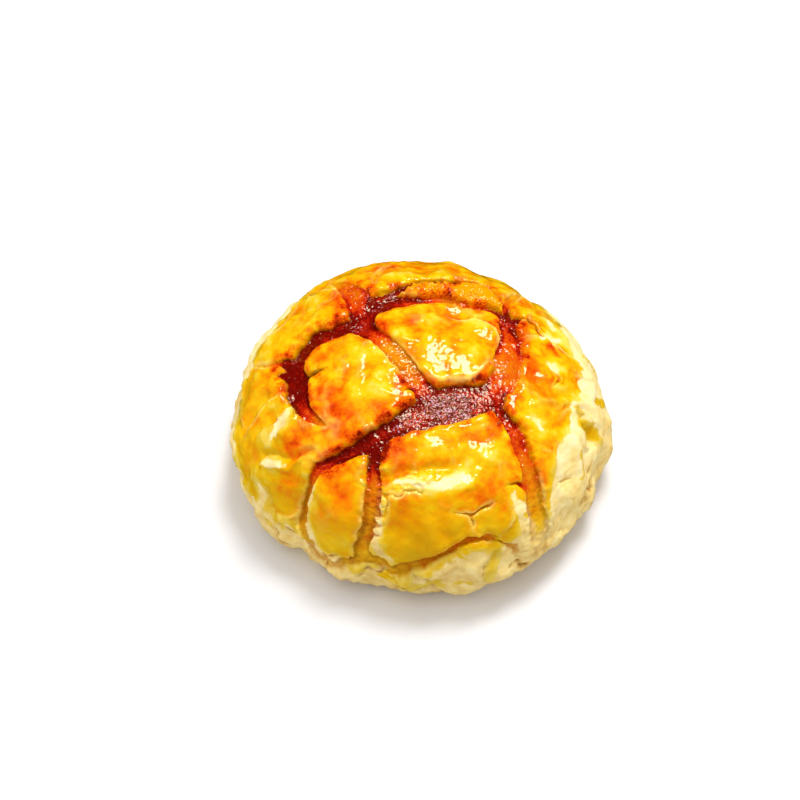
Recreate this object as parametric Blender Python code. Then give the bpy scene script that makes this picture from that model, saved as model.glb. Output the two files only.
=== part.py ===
"""A pineapple bun: a round soft roll under a sugar crust that has cracked into plates.

The bun is one solid, because the crust is baked onto the roll. Its outer form is a dome with a flat
foot. Every place on the dome is given on the crust map, which is the dome's skin laid flat and seen
from above: u runs to the right and v to the back, measured along the skin from the top of the bun.
Cracks, dents and ridges are strokes on that map.
"""

import math

import bmesh
import bpy
import numpy as np
from mathutils import Vector, noise

MM = 0.001

# The dome
WIDTH = 106 * MM
DEPTH = 104 * MM
HEIGHT = 48 * MM
WIDEST_HEIGHT = 13 * MM  # height of the widest line above the table
SQUARENESS = 2.3  # 2 is an ellipse, more is boxier shoulders
FOOT_SHARE = 0.78  # foot radius over the widest radius
FOOT_TRIM = 0.5 * MM  # what the flat foot cuts away
PROFILE_STEPS = 720

# Swellings and hollows of the outline: direction in degrees, half width in degrees, share of the radius
LOBES = [
    (2, 12, 0.025),
    (40, 18, -0.015),
    (57, 9, -0.024),
    (118, 12, 0.015),
    (182, 16, -0.022),
    (238, 24, -0.060),
    (268, 12, -0.025),
    (292, 16, 0.010),
    (330, 20, -0.012),
]

# The sugar crust
DEEPEST_CRACK = 2.5 * MM
WALL_HALF_WIDTH = 0.7 * MM  # half of the band in which a plate's edge drops, at the deepest crack
SHALLOW_WALL_EXTRA = 0.6 * MM  # added for the shallowest
PLATE_CROWN = 1.3 * MM  # a plate's middle stands this much above its edge
CROWN_REACH = 4.5 * MM
CORNER_ROUNDING = 0.7 * MM  # where cracks meet, the plates' corners are rounded off
RIM_LIFT = 0.3 * MM  # plates curl up a little along their edges
ROUTE_STEP = 1.0 * MM

# Cracks: u, v, half width and depth in millimetres at points along each one.
CRACKS = {
    "open_middle": [
        (-2, -19.6, 3.6, 2.4), (4, -15.8, 5.2, 2.4), (10, -14, 5.8, 2.4), (16.3, -12.2, 4.9, 2.4),
        (21.5, -10.8, 3.6, 2.4)
    ],
    "front_left": [
        (0, -20.2, 3.2, 2.4), (-6.2, -23, 2.6, 2.5), (-12.3, -26.6, 2.7, 2.5), (-18.2, -29.4, 2.6, 2.4),
        (-23.6, -31, 1.9, 2), (-29.6, -33.4, 1.4, 1.5)
    ],
    "front_right": [
        (21, -12.5, 2.2, 2.3), (23.8, -18.2, 2.2, 2.3), (28, -23.2, 2.6, 2.2), (30.6, -28.5, 2.8, 2),
        (32.2, -33.7, 3, 1.7), (33.9, -39.1, 3.5, 1.2), (37.1, -44.8, 3.9, 0.9), (40.9, -51.1, 3.8, 0.6),
        (44.6, -58, 3, 0.5), (47, -64, 2.4, 0.4), (51, -72, 1.6, 0.4)
    ],
    "right_of_top": [
        (21.5, -10.9, 3.4, 2.4), (24, -2.7, 3.6, 2.2), (24.8, 3.4, 3.5, 2), (26, 11.2, 3, 2),
        (25.8, 16.8, 2, 2.2)
    ],
    "behind_top": [
        (25.8, 16.8, 2, 2.2), (21.7, 20.7, 2, 2.2), (15.4, 22.6, 2.1, 2.2), (8.7, 23, 2.3, 2.2),
        (2.1, 22.9, 2.4, 2.2), (-4.1, 22.4, 2.7, 2.3), (-10.1, 20.5, 3.2, 2.4), (-14.9, 17.2, 3.5, 2.4),
        (-15.9, 13, 3, 2.4)
    ],
    "left_of_top": [
        (-15, 12.4, 2.8, 2), (-9.7, 5.7, 2.9, 1.4), (-6, 1.2, 2.7, 1.3), (-2.5, -3.8, 2.6, 1.4),
        (0.3, -8.5, 2.7, 1.8), (3, -12, 3, 2.2)
    ],
    "left_loop": [
        (-14.4, 13.4, 2.8, 2.3), (-19.3, 12.2, 2.9, 2.3), (-24.7, 11.6, 2.8, 2.2), (-29.8, 9.2, 2.6, 2.3),
        (-33.6, 5.6, 2.6, 2.4), (-35.6, 1.3, 3.1, 2.5), (-35.2, -3.3, 3.6, 2.5), (-33.8, -9.1, 3.3, 2.3),
        (-31.8, -14, 2.5, 1.9), (-28.6, -18.3, 1.5, 1.2), (-25.7, -21.3, 0, 0.6)
    ],
    "back_left": [
        (-15.3, 15.8, 3, 2), (-16.3, 20.5, 3.6, 1.4), (-17.8, 25.4, 4, 1.1), (-20.3, 30.5, 3.2, 0.9),
        (-23.4, 35.5, 1.8, 0.6), (-26.4, 40.8, 0, 0.3)
    ],
    "back_strip": [
        (-12.3, 23.2, 1.8, 2), (-6.1, 26.5, 1.2, 1.6), (0.5, 30, 0.9, 1.3), (9.2, 32, 1.1, 1.3),
        (14.7, 33, 1.1, 1.3), (20, 32.2, 1.1, 1.3), (24.3, 28.8, 0.7, 1.4), (26.2, 24, 0.9, 1.5),
        (26.8, 18.2, 1.4, 2)
    ],
    "right_rear": [(25.6, 23.3, 1, 1.4), (28.2, 28.1, 1, 1.2), (31.3, 33.9, 0.8, 0.8), (34.4, 39.4, 0, 0.4)],
    "right_back": [
        (26.7, 16.9, 1.2, 1.8), (29.7, 19.3, 0.9, 1.5), (32.7, 18.6, 0.8, 1.3), (36.1, 14.6, 0.6, 0.9),
        (39.3, 10, 0, 0.5)
    ],
    "right_shoulder": [(26.5, 9.2, 1, 1.4), (30.4, 11.1, 0.8, 0.9), (35.2, 11.9, 0, 0.4)],
    "front_split": [
        (-12.3, -27.5, 1.5, 2.3), (-12.1, -32.7, 1.8, 2.3), (-12.6, -38, 2.4, 2.1), (-13.3, -44.3, 2.4, 1.9),
        (-15, -50.6, 2.1, 1.7), (-18, -56.4, 2.7, 1.6), (-18.8, -60.2, 3.3, 1.5), (-14.5, -63.8, 1.6, 1.4)
    ],
    "round_small_plate": [
        (-29.8, -33.4, 1.3, 1.5), (-34, -38.3, 1.8, 1.4), (-38.2, -43.5, 1.6, 1.3), (-41, -49.5, 1.3, 1.2),
        (-41, -55.5, 1.1, 1.1), (-38.8, -61, 1.1, 1.1), (-32, -64.6, 1.2, 1.1), (-24, -64.2, 1.6, 1.3),
        (-20, -62.5, 2, 1.4)
    ],
    "under_front_plate": [
        (-14, -64.6, 1.4, 1.4), (-8.6, -67, 1.9, 1.6), (-2.8, -65, 2, 1.8), (4.4, -61.2, 1.8, 1.8),
        (12, -55.6, 1.4, 1.7), (18.2, -52.3, 0.8, 1.3), (23.3, -50.7, 0, 0.6)
    ],
    "left_flank": [
        (-35.6, 3, 2, 1.9), (-38.8, 4.6, 1.6, 1.4), (-41.8, 5.6, 0.8, 1), (-45.5, 6.2, 0.4, 0.7),
        (-50.5, 8.6, 0, 0.4)
    ],
    "left_corner": [(-35.8, -0.6, 1.8, 2), (-39.4, 0.4, 1.1, 1.5), (-42.4, 1.4, 0, 0.5)],
    "left_notch": [(-33.9, -3.2, 1.2, 2), (-29.6, -2.8, 0.9, 1.6), (-24.7, -2.2, 0, 0.6)],
    "front_lip": [
        (10.2, -45.3, 0, 0.3), (13.4, -45, 0.3, 0.9), (16, -44.2, 0.4, 1.1), (18.4, -42.6, 0.5, 1.1),
        (20.8, -40.8, 0, 0.4)
    ],
    "low_crack": [
        (18.9, -51.2, 0.2, 0.6), (22.4, -51.8, 0.4, 0.9), (28.2, -54.2, 0.4, 0.9), (31.8, -54.9, 0.5, 1),
        (34.3, -57.3, 0.2, 0.6)
    ],
    "front_notch": [(31.2, -36.5, 1.2, 1.4), (27.5, -36, 0.8, 1.1), (23.6, -37, 0, 0.4)],
}

# Dents below zero and ridges above it: height in millimetres, then u, v and half width in millimetres.
FOLDS = {
    "front_fold": (-1.4, [
        (-10, -38, 1.2), (-4.6, -36.6, 1.4), (1, -34.8, 1.5), (6.3, -34, 1.5), (12.5, -31.5, 1.2)
    ]),
    "front_groove": (-0.9, [(10, -22, 1.0), (11, -26, 1.3), (12, -30.5, 1.2)]),
    "front_groove_left": (-0.5, [(0, -26, 0.9), (0.8, -29, 1.1), (0.2, -32, 1.1)]),
    "front_brow": (0.8, [(-6, -42.5, 2.6), (3, -42, 3.0), (12, -39.5, 3.2), (18, -36, 3.0)]),
    "small_plate_crown": (0.7, [(-21, -42, 5.0), (-21, -52, 5.0)]),
    "left_valley": (-1.3, [(-35.5, -36, 2.6), (-39, -42, 3.0), (-41, -48, 2.6)]),
    "left_hollow": (-1.8, [(-45, -5, 1.8), (-50, -8, 2.4), (-53, -12, 1.8)]),
    "left_hollow_low": (-1.0, [(-38.5, -11, 1.3), (-43, -14.5, 1.6), (-47, -17, 1.2)]),
    "left_knob": (0.9, [(-39, -4.8, 1.4), (-38, -7.2, 1.3)]),
    "left_corner": (1.3, [(-34, -17, 2.2), (-36.5, -20, 2.4)]),
    "left_lower_dent": (-1.3, [(-45, -23.8, 0.9), (-40.7, -25.6, 1.2), (-36.6, -27.1, 1.2), (-31, -27, 1.0)]),
    "left_lower_ridge": (1.1, [(-46, -26.5, 1.1), (-42, -28.6, 1.4), (-38, -29.8, 1.4), (-34, -28.6, 1.0)]),
    "left_lower_bulge": (0.8, [(-46, -31, 3.0), (-40, -36, 3.4)]),
    "left_foot_dent": (-1.5, [(-48, -34.5, 1.1), (-49.6, -38, 1.5), (-50.6, -41, 1.1)]),
    "left_foot_roll": (0.7, [(-44, -50, 3.0), (-41, -58, 3.2), (-35, -66, 2.6)]),
    "right_pit": (-1.1, [(45.8, -9.2, 0.8), (48.6, -9.9, 1.1)]),
    "right_hollow": (-1.8, [(49.5, -12.6, 1.2), (53, -12.6, 2.0), (56.5, -15.5, 2.2)]),
    "right_long_ridge": (0.7, [
        (31.5, -12.2, 0.7), (34, -10.6, 1.1), (39.6, -8.6, 1.2), (46, -6.6, 1.3), (54, -5, 1.2)
    ]),
    "right_orange_hollow": (-0.8, [(32, -4.5, 2.0), (38, -6, 2.2), (44, -4, 1.8)]),
    "right_bump": (0.7, [(35.6, -1.2, 1.9), (36.4, -2.2, 1.8)]),
    "right_brow": (0.8, [(40, 5, 2.4), (46, 2, 2.6), (52, -0.5, 2.4)]),
    "right_lower_ridge": (0.9, [(45, -20, 2.6), (50, -25, 2.8), (54, -32, 2.6)]),
    "left_plate_ridge": (0.5, [(-15.8, 3.2, 0.7), (-19.7, 1.7, 0.8), (-21.4, -0.4, 0.8), (-22, -2.8, 0.7)]),
    "left_plate_groove": (-0.5, [(-19, 6, 0.8), (-23, 3, 1.0), (-24.6, -0.5, 0.9)]),
    "right_front_dent": (-1.1, [(22, -61, 1.6), (25, -58, 1.4)]),
    "front_foot_ridge": (1.2, [(3, -66, 2.2), (12, -63, 2.6), (22, -60, 2.6)]),
}

# Lips where one layer of crust lies over the next, high on the left of the way that the points run.
# Rise and the distance it fades over in millimetres, then u, v in millimetres and the lip's strength there.
LIP_WIDTH = 0.6 * MM
LEDGES = {
    "top_plate_step": (0.8, 2.6, [
        (21.4, -0.5, 0), (21.7, 9.1, 1), (18.2, 13.9, 1), (14.1, 14.2, 1), (7, 16.5, 0)
    ]),
    "front_fold_crest": (1.2, 3.2, [
        (15, -32.5, 0), (10.3, -34.3, 0.8), (6.2, -37.8, 1), (4.1, -39, 1), (-0.7, -37, 1), (-7, -39.3, 0.7),
        (-10, -40, 0)
    ]),
    "left_rim": (1.2, 3.5, [
        (-33, 42, 0), (-36.9, 31.1, 1), (-38.8, 24.7, 1), (-40.8, 18.6, 1), (-44, 15.6, 1),
        (-52.1, 14.1, 0.7), (-56.6, 5.7, 1), (-57.6, 0, 1), (-55, -13, 0)
    ]),
    "left_ridge": (1.1, 3, [(-38.5, -6.2, 0), (-41, -7.2, 0.9), (-49, -12, 1), (-55, -17, 0)]),
    "left_pale_corner": (0.9, 3, [(-34, -9, 0), (-37.4, -13.9, 1), (-43.5, -17.6, 0)]),
    "left_low_step": (0.9, 2.5, [(-39, -42.5, 0), (-42, -43.9, 1), (-49, -41.7, 0.8), (-52, -38, 0)]),
    "back_left_plate": (0.8, 3, [(-18.5, 20.5, 0), (-22.2, 29.6, 1), (-25.7, 33, 1), (-36, 37, 0)]),
    "right_top": (1.0, 3.5, [(53, 3, 0), (46.5, 8.1, 1), (39.4, 11.9, 1), (32.6, 12.2, 1), (27, 10, 0)]),
    "right_pale_rim": (0.9, 3, [(57, -8, 0), (49, -8.3, 1), (42, -11, 0.6), (40.5, -15, 0)]),
    "right_low_roll": (0.8, 3, [(44, -17, 0), (53, -18.8, 1), (61, -16, 0)]),
    "front_right_lip": (0.7, 2.5, [(24, -50, 0), (26.8, -48.6, 0.8), (27.6, -46, 0.9), (25, -40, 0)]),
}

# Unevenness of the whole crust: wavelength, height on top and height low on the flank
SWELLS = [(17 * MM, 0.8 * MM, 1.8 * MM), (7 * MM, 0.3 * MM, 1.0 * MM)]
WANDER = (8 * MM, 1.3 * MM)  # cracks stray from their routes: wavelength and distance

SPHERE_SUBDIVISIONS = 6
REFINE_REACHES = [4.0 * MM, 2.4 * MM]  # how near a crack's edge or a fold the faces are split, each time
REFINED_LEDGE = 0.2  # a ledge weaker than this is not refined
FOOT_RAY = math.radians(135)  # how far round the sphere the foot's edge falls
SOLID_TRIANGLES = 11400

CRUST_COLOUR = (0.90, 0.47, 0.05, 1.0)
CRUST_ROUGHNESS = 0.35


def clear_scene():
    for thing in list(bpy.data.objects):
        bpy.data.objects.remove(thing, do_unlink=True)


def smooth_step(x):
    x = np.clip(x, 0.0, 1.0)
    return x * x * (3.0 - 2.0 * x)


def dome_profile():
    """Radius share, height and distance along the skin, from the top over the side to under the middle."""
    swing = np.linspace(0.0, math.pi / 2, PROFILE_STEPS)
    upper_r = np.sin(swing) ** (2 / SQUARENESS)
    upper_z = WIDEST_HEIGHT + (HEIGHT - WIDEST_HEIGHT) * np.cos(swing) ** (2 / SQUARENESS)
    drop = np.linspace(0.0, 1.0, PROFILE_STEPS // 4)[1:]
    lower_r = FOOT_SHARE + (1 - FOOT_SHARE) * np.sqrt(np.clip(1 - drop**2, 0, 1))
    lower_z = WIDEST_HEIGHT * (1 - drop)
    r = np.concatenate([upper_r, lower_r, [0.0]])
    z = np.concatenate([upper_z, lower_z, [0.0]])
    mean_radius = (WIDTH + DEPTH) / 4
    skin = np.concatenate([[0.0], np.cumsum(np.hypot(np.diff(r) * mean_radius, np.diff(z)))])
    return r, z, skin


PROFILE_R, PROFILE_Z, PROFILE_SKIN = dome_profile()
FOOT_SKIN = PROFILE_SKIN[-2]  # distance along the skin from the top to the foot's edge


def outline_share(direction):
    """How far the outline swells beyond the plain oval, by direction in radians."""
    share = np.ones_like(direction)
    for middle, half_width, swell in LOBES:
        apart = np.degrees(direction) - middle
        apart = (apart + 180) % 360 - 180
        share += swell * np.exp(-((apart / half_width) ** 2))
    return share


def on_dome(u, v, lift):
    """Points of the dome at places on the crust map, raised along the skin's normal by lift."""
    skin = np.hypot(u, v)
    direction = np.arctan2(v, u)
    r = np.interp(skin, PROFILE_SKIN, PROFILE_R)
    z = np.interp(skin, PROFILE_SKIN, PROFILE_Z)
    step = 1.0 * MM
    before, after = np.maximum(skin - step, 0), np.minimum(skin + step, PROFILE_SKIN[-1])
    mean_radius = (WIDTH + DEPTH) / 4
    change_r = np.interp(after, PROFILE_SKIN, PROFILE_R) - np.interp(before, PROFILE_SKIN, PROFILE_R)
    slope_r = change_r * mean_radius
    slope_z = np.interp(after, PROFILE_SKIN, PROFILE_Z) - np.interp(before, PROFILE_SKIN, PROFILE_Z)
    length = np.maximum(np.hypot(slope_r, slope_z), 1e-12)
    out, up = -slope_z / length, slope_r / length
    share = outline_share(direction)
    x = (r * WIDTH / 2 * share + out * lift) * np.cos(direction)
    y = (r * DEPTH / 2 * share + out * lift) * np.sin(direction)
    return np.stack([x, y, z + up * lift], axis=-1)


def smooth_route(points, scale=MM):
    """A curve through the stroke's points times the scale, about ROUTE_STEP apart."""
    p = np.array(points, float) * scale
    ends = np.vstack([2 * p[0] - p[1], p, 2 * p[-1] - p[-2]])
    curve = []
    for a, b, c, d in zip(ends, ends[1:], ends[2:], ends[3:]):
        count = max(2, int(np.hypot(*(c - b)[:2]) / ROUTE_STEP))
        for t in np.arange(count) / count:
            bend = (2 * a - 5 * b + 4 * c - d) * t**2 + (3 * b - a - 3 * c + d) * t**3
            curve.append(0.5 * (2 * b + (c - a) * t + bend))
    curve.append(p[-1])
    return np.array(curve)


def nearest_on_route(u, v, route):
    """How far each place lies outside the stroke's edge, and what the stroke holds there after u and v."""
    best = np.full(u.shape, 1.0)
    held = np.zeros(u.shape + (route.shape[1] - 2,))
    for a, b in zip(route, route[1:]):
        along = b - a
        t = np.clip(((u - a[0]) * along[0] + (v - a[1]) * along[1]) / (along[0] ** 2 + along[1] ** 2), 0, 1)
        here = a[2:] + t[..., None] * along[2:]
        outside = np.hypot(u - a[0] - t * along[0], v - a[1] - t * along[1]) - here[..., 0]
        nearer = outside < best
        best = np.where(nearer, outside, best)
        held[nearer] = here[nearer]
    return best, held


def noise_at(points, wavelength, offset):
    shift = Vector((offset, -offset, 0.5 * offset))
    return np.array([noise.noise(Vector(p) / wavelength + shift) for p in points])


def crack_field(u, v):
    """How far each place lies outside the nearest crack's edge, and the crack's depth there."""
    total = np.zeros_like(u)
    weighted_depth = np.zeros_like(u)
    for points in CRACKS.values():
        outside, held = nearest_on_route(u, v, smooth_route(points))
        weight = np.exp(-np.maximum(outside, -8 * MM) / CORNER_ROUNDING)
        total += weight
        weighted_depth += weight * held[..., 1]
    total = np.maximum(total, 1e-300)
    return -CORNER_ROUNDING * np.log(total), np.clip(weighted_depth / total, 0, DEEPEST_CRACK)


def crust_height(u, v):
    """The plates and the cracks between them: height against the plain dome."""
    outside, depth = crack_field(u, v)
    share = depth / DEEPEST_CRACK
    wall = WALL_HALF_WIDTH + SHALLOW_WALL_EXTRA * (1 - share)
    drop = depth * smooth_step((wall - outside) / (2 * wall))
    dip = PLATE_CROWN * share * np.exp(-np.maximum(outside, 0) / CROWN_REACH)
    curl = RIM_LIFT * share * np.exp(-(((outside - 1.3 * MM) / (0.8 * MM)) ** 2))
    return curl - drop - dip


def fold_height(u, v):
    height = np.zeros_like(u)
    for rise, points in FOLDS.values():
        outside, held = nearest_on_route(u, v, smooth_route(points))
        half_width = np.maximum(held[..., 0], 0.5 * MM)
        height += rise * MM * np.exp(-(((outside + half_width) / half_width) ** 2))
    return height


def beside_ledge(u, v, points):
    """Distance to a ledge, above zero on its high side, and the ledge's strength at the nearest point."""
    best = np.full(u.shape, 1.0)
    signed = np.full(u.shape, 1.0)
    strength = np.zeros_like(u)
    route = smooth_route(points, [MM, MM, 1])
    for a, b in zip(route, route[1:]):
        along = b - a
        t = np.clip(((u - a[0]) * along[0] + (v - a[1]) * along[1]) / (along[0] ** 2 + along[1] ** 2), 0, 1)
        apart = np.hypot(u - a[0] - t * along[0], v - a[1] - t * along[1])
        nearer = apart < best
        best = np.where(nearer, apart, best)
        side = np.where(along[0] * (v - a[1]) - along[1] * (u - a[0]) > 0, 1.0, -1.0)
        signed = np.where(nearer, side * apart, signed)
        strength = np.where(nearer, a[2] + t * along[2], strength)
    return signed, strength


def ledge_height(u, v):
    height = np.zeros_like(u)
    for rise, fade, points in LEDGES.values():
        signed, strength = beside_ledge(u, v, points)
        fading = np.exp(-np.abs(signed) / (fade * MM))
        height += 0.5 * rise * MM * strength * np.tanh(signed / LIP_WIDTH) * fading
    return height


def relief(u, v, places):
    """Height of the crust above the plain dome at each place of the map."""
    wavelength, distance = WANDER
    stray_u = distance * noise_at(places, wavelength, 3.1)
    stray_v = distance * noise_at(places, wavelength, 8.7)
    height = crust_height(u + stray_u, v + stray_v)
    height += fold_height(u + stray_u, v + stray_v) + ledge_height(u + stray_u, v + stray_v)
    low = smooth_step((np.hypot(u, v) - 0.45 * FOOT_SKIN) / (0.4 * FOOT_SKIN))
    for number, (wavelength, on_top, on_flank) in enumerate(SWELLS):
        height += (on_top + (on_flank - on_top) * low) * noise_at(places, wavelength, 20.0 + 7 * number)
    return height


def places_on_map(bm):
    """Where each vertex of the sphere falls on the crust map."""
    rays = np.array([vert.co for vert in bm.verts])
    ray_angle = np.arctan2(np.hypot(rays[:, 0], rays[:, 1]), rays[:, 2])
    skin = np.interp(ray_angle, [0, FOOT_RAY, math.pi], [0, FOOT_SKIN, PROFILE_SKIN[-1]])
    direction = np.arctan2(rays[:, 1], rays[:, 0])
    return skin * np.cos(direction), skin * np.sin(direction)


def refine_where_sharp(bm):
    """Splits the sphere's faces where a plate's edge will drop and, less finely, in the folds and ledges."""
    for reach in REFINE_REACHES:
        u, v = places_on_map(bm)
        outside, _ = crack_field(u, v)
        near = np.abs(outside) < reach
        for _, points in FOLDS.values():
            beyond, held = nearest_on_route(u, v, smooth_route(points))
            near |= beyond + held[..., 0] < min(reach, 2 * held[..., 0].max())
        for _, _, points in LEDGES.values():
            signed, strength = beside_ledge(u, v, points)
            near |= (np.abs(signed) < reach / 2) & (strength > REFINED_LEDGE)
        bm.verts.index_update()
        edges = [edge for edge in bm.edges if near[edge.verts[0].index] or near[edge.verts[1].index]]
        bmesh.ops.subdivide_edges(bm, edges=edges, cuts=1, use_grid_fill=True)
        bmesh.ops.triangulate(bm, faces=[face for face in bm.faces if len(face.verts) > 3])
        for vert in bm.verts:
            vert.co.normalize()


def shaped_sphere():
    """An icosphere moved out onto the dome, with the crust's relief."""
    mesh = bpy.data.meshes.new("bun_fine")
    bm = bmesh.new()
    bmesh.ops.create_icosphere(bm, subdivisions=SPHERE_SUBDIVISIONS, radius=1.0)
    refine_where_sharp(bm)
    u, v = places_on_map(bm)
    places = on_dome(u, v, np.zeros_like(u))
    above_foot = smooth_step((FOOT_SKIN + 2 * MM - np.hypot(u, v)) / (6 * MM))
    for vert, place in zip(bm.verts, on_dome(u, v, relief(u, v, places) * above_foot)):
        vert.co = place
    bm.to_mesh(mesh)
    bm.free()
    return bpy.data.objects.new("bun_fine", mesh)


def thinned(fine):
    """A copy of the fine mesh with few triangles, most of them left where the crust turns sharply."""
    bpy.context.scene.collection.objects.link(fine)
    decimate = fine.modifiers.new("fewer_faces", "DECIMATE")
    decimate.ratio = SOLID_TRIANGLES / len(fine.data.polygons)
    graph = bpy.context.evaluated_depsgraph_get()
    mesh = bpy.data.meshes.new_from_object(fine.evaluated_get(graph))
    bpy.data.objects.remove(fine, do_unlink=True)
    return mesh


def cut_foot(mesh):
    """Trims the underside flat and puts the origin under the middle of the bun, on the table."""
    bm = bmesh.new()
    bm.from_mesh(mesh)
    everything = bm.verts[:] + bm.edges[:] + bm.faces[:]
    bmesh.ops.bisect_plane(
        bm, geom=everything, dist=0.1 * MM, plane_co=(0, 0, FOOT_TRIM), plane_no=(0, 0, -1), clear_outer=True
    )
    rim = [edge for edge in bm.edges if edge.is_boundary]
    bmesh.ops.contextual_create(bm, geom=rim)
    bmesh.ops.recalc_face_normals(bm, faces=bm.faces[:])
    corners = np.array([vert.co for vert in bm.verts])
    low, high = corners.min(axis=0), corners.max(axis=0)
    middle = (low + high) / 2
    bmesh.ops.translate(bm, verts=bm.verts[:], vec=(-middle[0], -middle[1], -low[2]))
    bm.to_mesh(mesh)
    bm.free()


def crust_material():
    material = bpy.data.materials.new("baked_crust")
    material.use_nodes = True
    shader = material.node_tree.nodes["Principled BSDF"]
    shader.inputs["Base Color"].default_value = CRUST_COLOUR
    shader.inputs["Roughness"].default_value = CRUST_ROUGHNESS
    return material


def main():
    clear_scene()
    collection = bpy.data.collections.new("pineapple_bun")
    bpy.context.scene.collection.children.link(collection)
    mesh = thinned(shaped_sphere())
    cut_foot(mesh)
    mesh.name = "bun"
    mesh.materials.append(crust_material())
    bun = bpy.data.objects.new("bun", mesh)
    collection.objects.link(bun)


main()
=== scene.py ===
# %% [markdown]
# # A pineapple bun
#
# A pineapple bun is a soft roll that is baked under a sheet of sugar dough. The roll swells, the sugar
# sheet can't stretch, and it cracks into thick plates. This lesson takes the plain solid of the bun and
# gives it the look of the real one: crisp plate edges, syrup in the cracks, egg wash on top and bare pale
# dough low down.

# %% Load the solid that everything is built around
import math

import bmesh
import bpy
import numpy as np
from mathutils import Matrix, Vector, noise


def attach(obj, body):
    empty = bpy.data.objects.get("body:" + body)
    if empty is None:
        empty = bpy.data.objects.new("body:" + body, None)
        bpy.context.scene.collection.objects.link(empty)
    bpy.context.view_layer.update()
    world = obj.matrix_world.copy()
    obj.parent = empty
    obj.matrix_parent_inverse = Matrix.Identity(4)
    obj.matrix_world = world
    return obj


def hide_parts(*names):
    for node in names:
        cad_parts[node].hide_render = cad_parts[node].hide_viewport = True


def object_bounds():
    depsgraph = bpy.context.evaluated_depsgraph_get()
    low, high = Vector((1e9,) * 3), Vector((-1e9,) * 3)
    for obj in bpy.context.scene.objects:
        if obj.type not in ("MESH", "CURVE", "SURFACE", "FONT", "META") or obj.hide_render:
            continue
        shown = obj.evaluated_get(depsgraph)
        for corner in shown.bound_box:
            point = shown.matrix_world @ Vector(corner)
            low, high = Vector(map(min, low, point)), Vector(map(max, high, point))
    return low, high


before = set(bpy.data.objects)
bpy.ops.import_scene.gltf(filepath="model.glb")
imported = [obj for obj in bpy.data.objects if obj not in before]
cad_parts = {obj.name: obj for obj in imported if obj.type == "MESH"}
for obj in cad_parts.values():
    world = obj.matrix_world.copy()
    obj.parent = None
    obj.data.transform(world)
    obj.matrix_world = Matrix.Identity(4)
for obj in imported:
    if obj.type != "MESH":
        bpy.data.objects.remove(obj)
solid_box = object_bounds()
MM = 0.001
print("solid box in mm:", [round(c / MM, 1) for corner in solid_box for c in corner])

# %% [markdown]
# ## The camera
#
# The bun is seen from well above, at about 55 degrees, from not quite half a metre away. A lens of 73 mm
# gives the same size in the picture. The small shift puts the bun where it lies in the frame, which turning
# the camera would not do without tilting the view.

# %% Camera
LOOK_AT = Vector((0, 0, 20 * MM))
VIEW_HEIGHT = math.radians(55)
VIEW_DISTANCE = 450 * MM
camera_data = bpy.data.cameras.new("camera")
camera_data.lens = 73.2
camera_data.sensor_width = 36
camera_data.shift_x = -0.0268
camera_data.shift_y = 0.0145
camera = bpy.data.objects.new("camera", camera_data)
camera.location = LOOK_AT + VIEW_DISTANCE * Vector((0, -math.cos(VIEW_HEIGHT), math.sin(VIEW_HEIGHT)))
camera.rotation_euler = (math.pi / 2 - VIEW_HEIGHT, 0, 0)
bpy.context.scene.collection.objects.link(camera)
bpy.context.scene.camera = camera
print("camera at", [round(c / MM) for c in camera.location], "mm, lens", round(camera_data.lens, 1), "mm")

# %% [markdown]
# ## Table and light
#
# A white table under a large soft lamp gives light without a hard shadow, and a bright even surround keeps
# the shadow light. Two weak lamps low at the sides brighten the flanks. All of these would lie on the glaze
# as a grey veil, so they aren't mirrored in it. A small strong lamp behind the bun makes the broken
# highlights on top of the plates instead. The plain Standard view keeps the strong yellows as they are,
# where a filmic one would grey them.

# %% Table
TABLE_HALF_WIDTH = 3.0  # metres


def plain_colour(name, colour, roughness):
    material = bpy.data.materials.new(name)
    material.use_nodes = True
    shader = material.node_tree.nodes["Principled BSDF"]
    shader.inputs["Base Color"].default_value = (*colour, 1)
    shader.inputs["Roughness"].default_value = roughness
    return material


table_mesh = bpy.data.meshes.new("table")
bm = bmesh.new()
bmesh.ops.create_grid(bm, x_segments=1, y_segments=1, size=TABLE_HALF_WIDTH)
bm.to_mesh(table_mesh)
bm.free()
table = bpy.data.objects.new("table", table_mesh)
table_mesh.materials.append(plain_colour("white_table", (0.77, 0.765, 0.785), 0.6))
table.visible_glossy = False
bpy.context.scene.collection.objects.link(table)
print("table", 2 * TABLE_HALF_WIDTH, "m wide")


# %% Lamps and surround
def soft_lamp(name, place, size, power, mirrored=True):
    data = bpy.data.lights.new(name, "AREA")
    data.shape = "DISK"
    data.size = size
    data.energy = power
    lamp = bpy.data.objects.new(name, data)
    lamp.location = place
    lamp.visible_glossy = mirrored
    lamp.rotation_euler = (lamp.location - LOOK_AT).to_track_quat("Z", "Y").to_euler()
    bpy.context.scene.collection.objects.link(lamp)


SURROUND_STRENGTH = 0.55
# Place and size in metres, power in watts
soft_lamp("overhead_lamp", (-0.10, -0.06, 0.85), 0.90, 2.55, mirrored=False)
soft_lamp("key_lamp", (0.115, 0.22, 0.68), 0.28, 3.7)
soft_lamp("right_lamp", (0.60, -0.10, 0.35), 0.40, 0.45, mirrored=False)
soft_lamp("left_lamp", (-0.60, -0.12, 0.22), 0.40, 0.6, mirrored=False)
world = bpy.data.worlds.new("surround")
world.use_nodes = True
world.node_tree.nodes["Background"].inputs["Color"].default_value = (1, 1, 1, 1)
world.node_tree.nodes["Background"].inputs["Strength"].default_value = SURROUND_STRENGTH
bpy.context.scene.world = world
world.cycles_visibility.glossy = False
bpy.context.scene.view_settings.view_transform = "Standard"
print("surround of strength", SURROUND_STRENGTH, "and the lamps", [lamp.name for lamp in bpy.data.lights])

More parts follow.
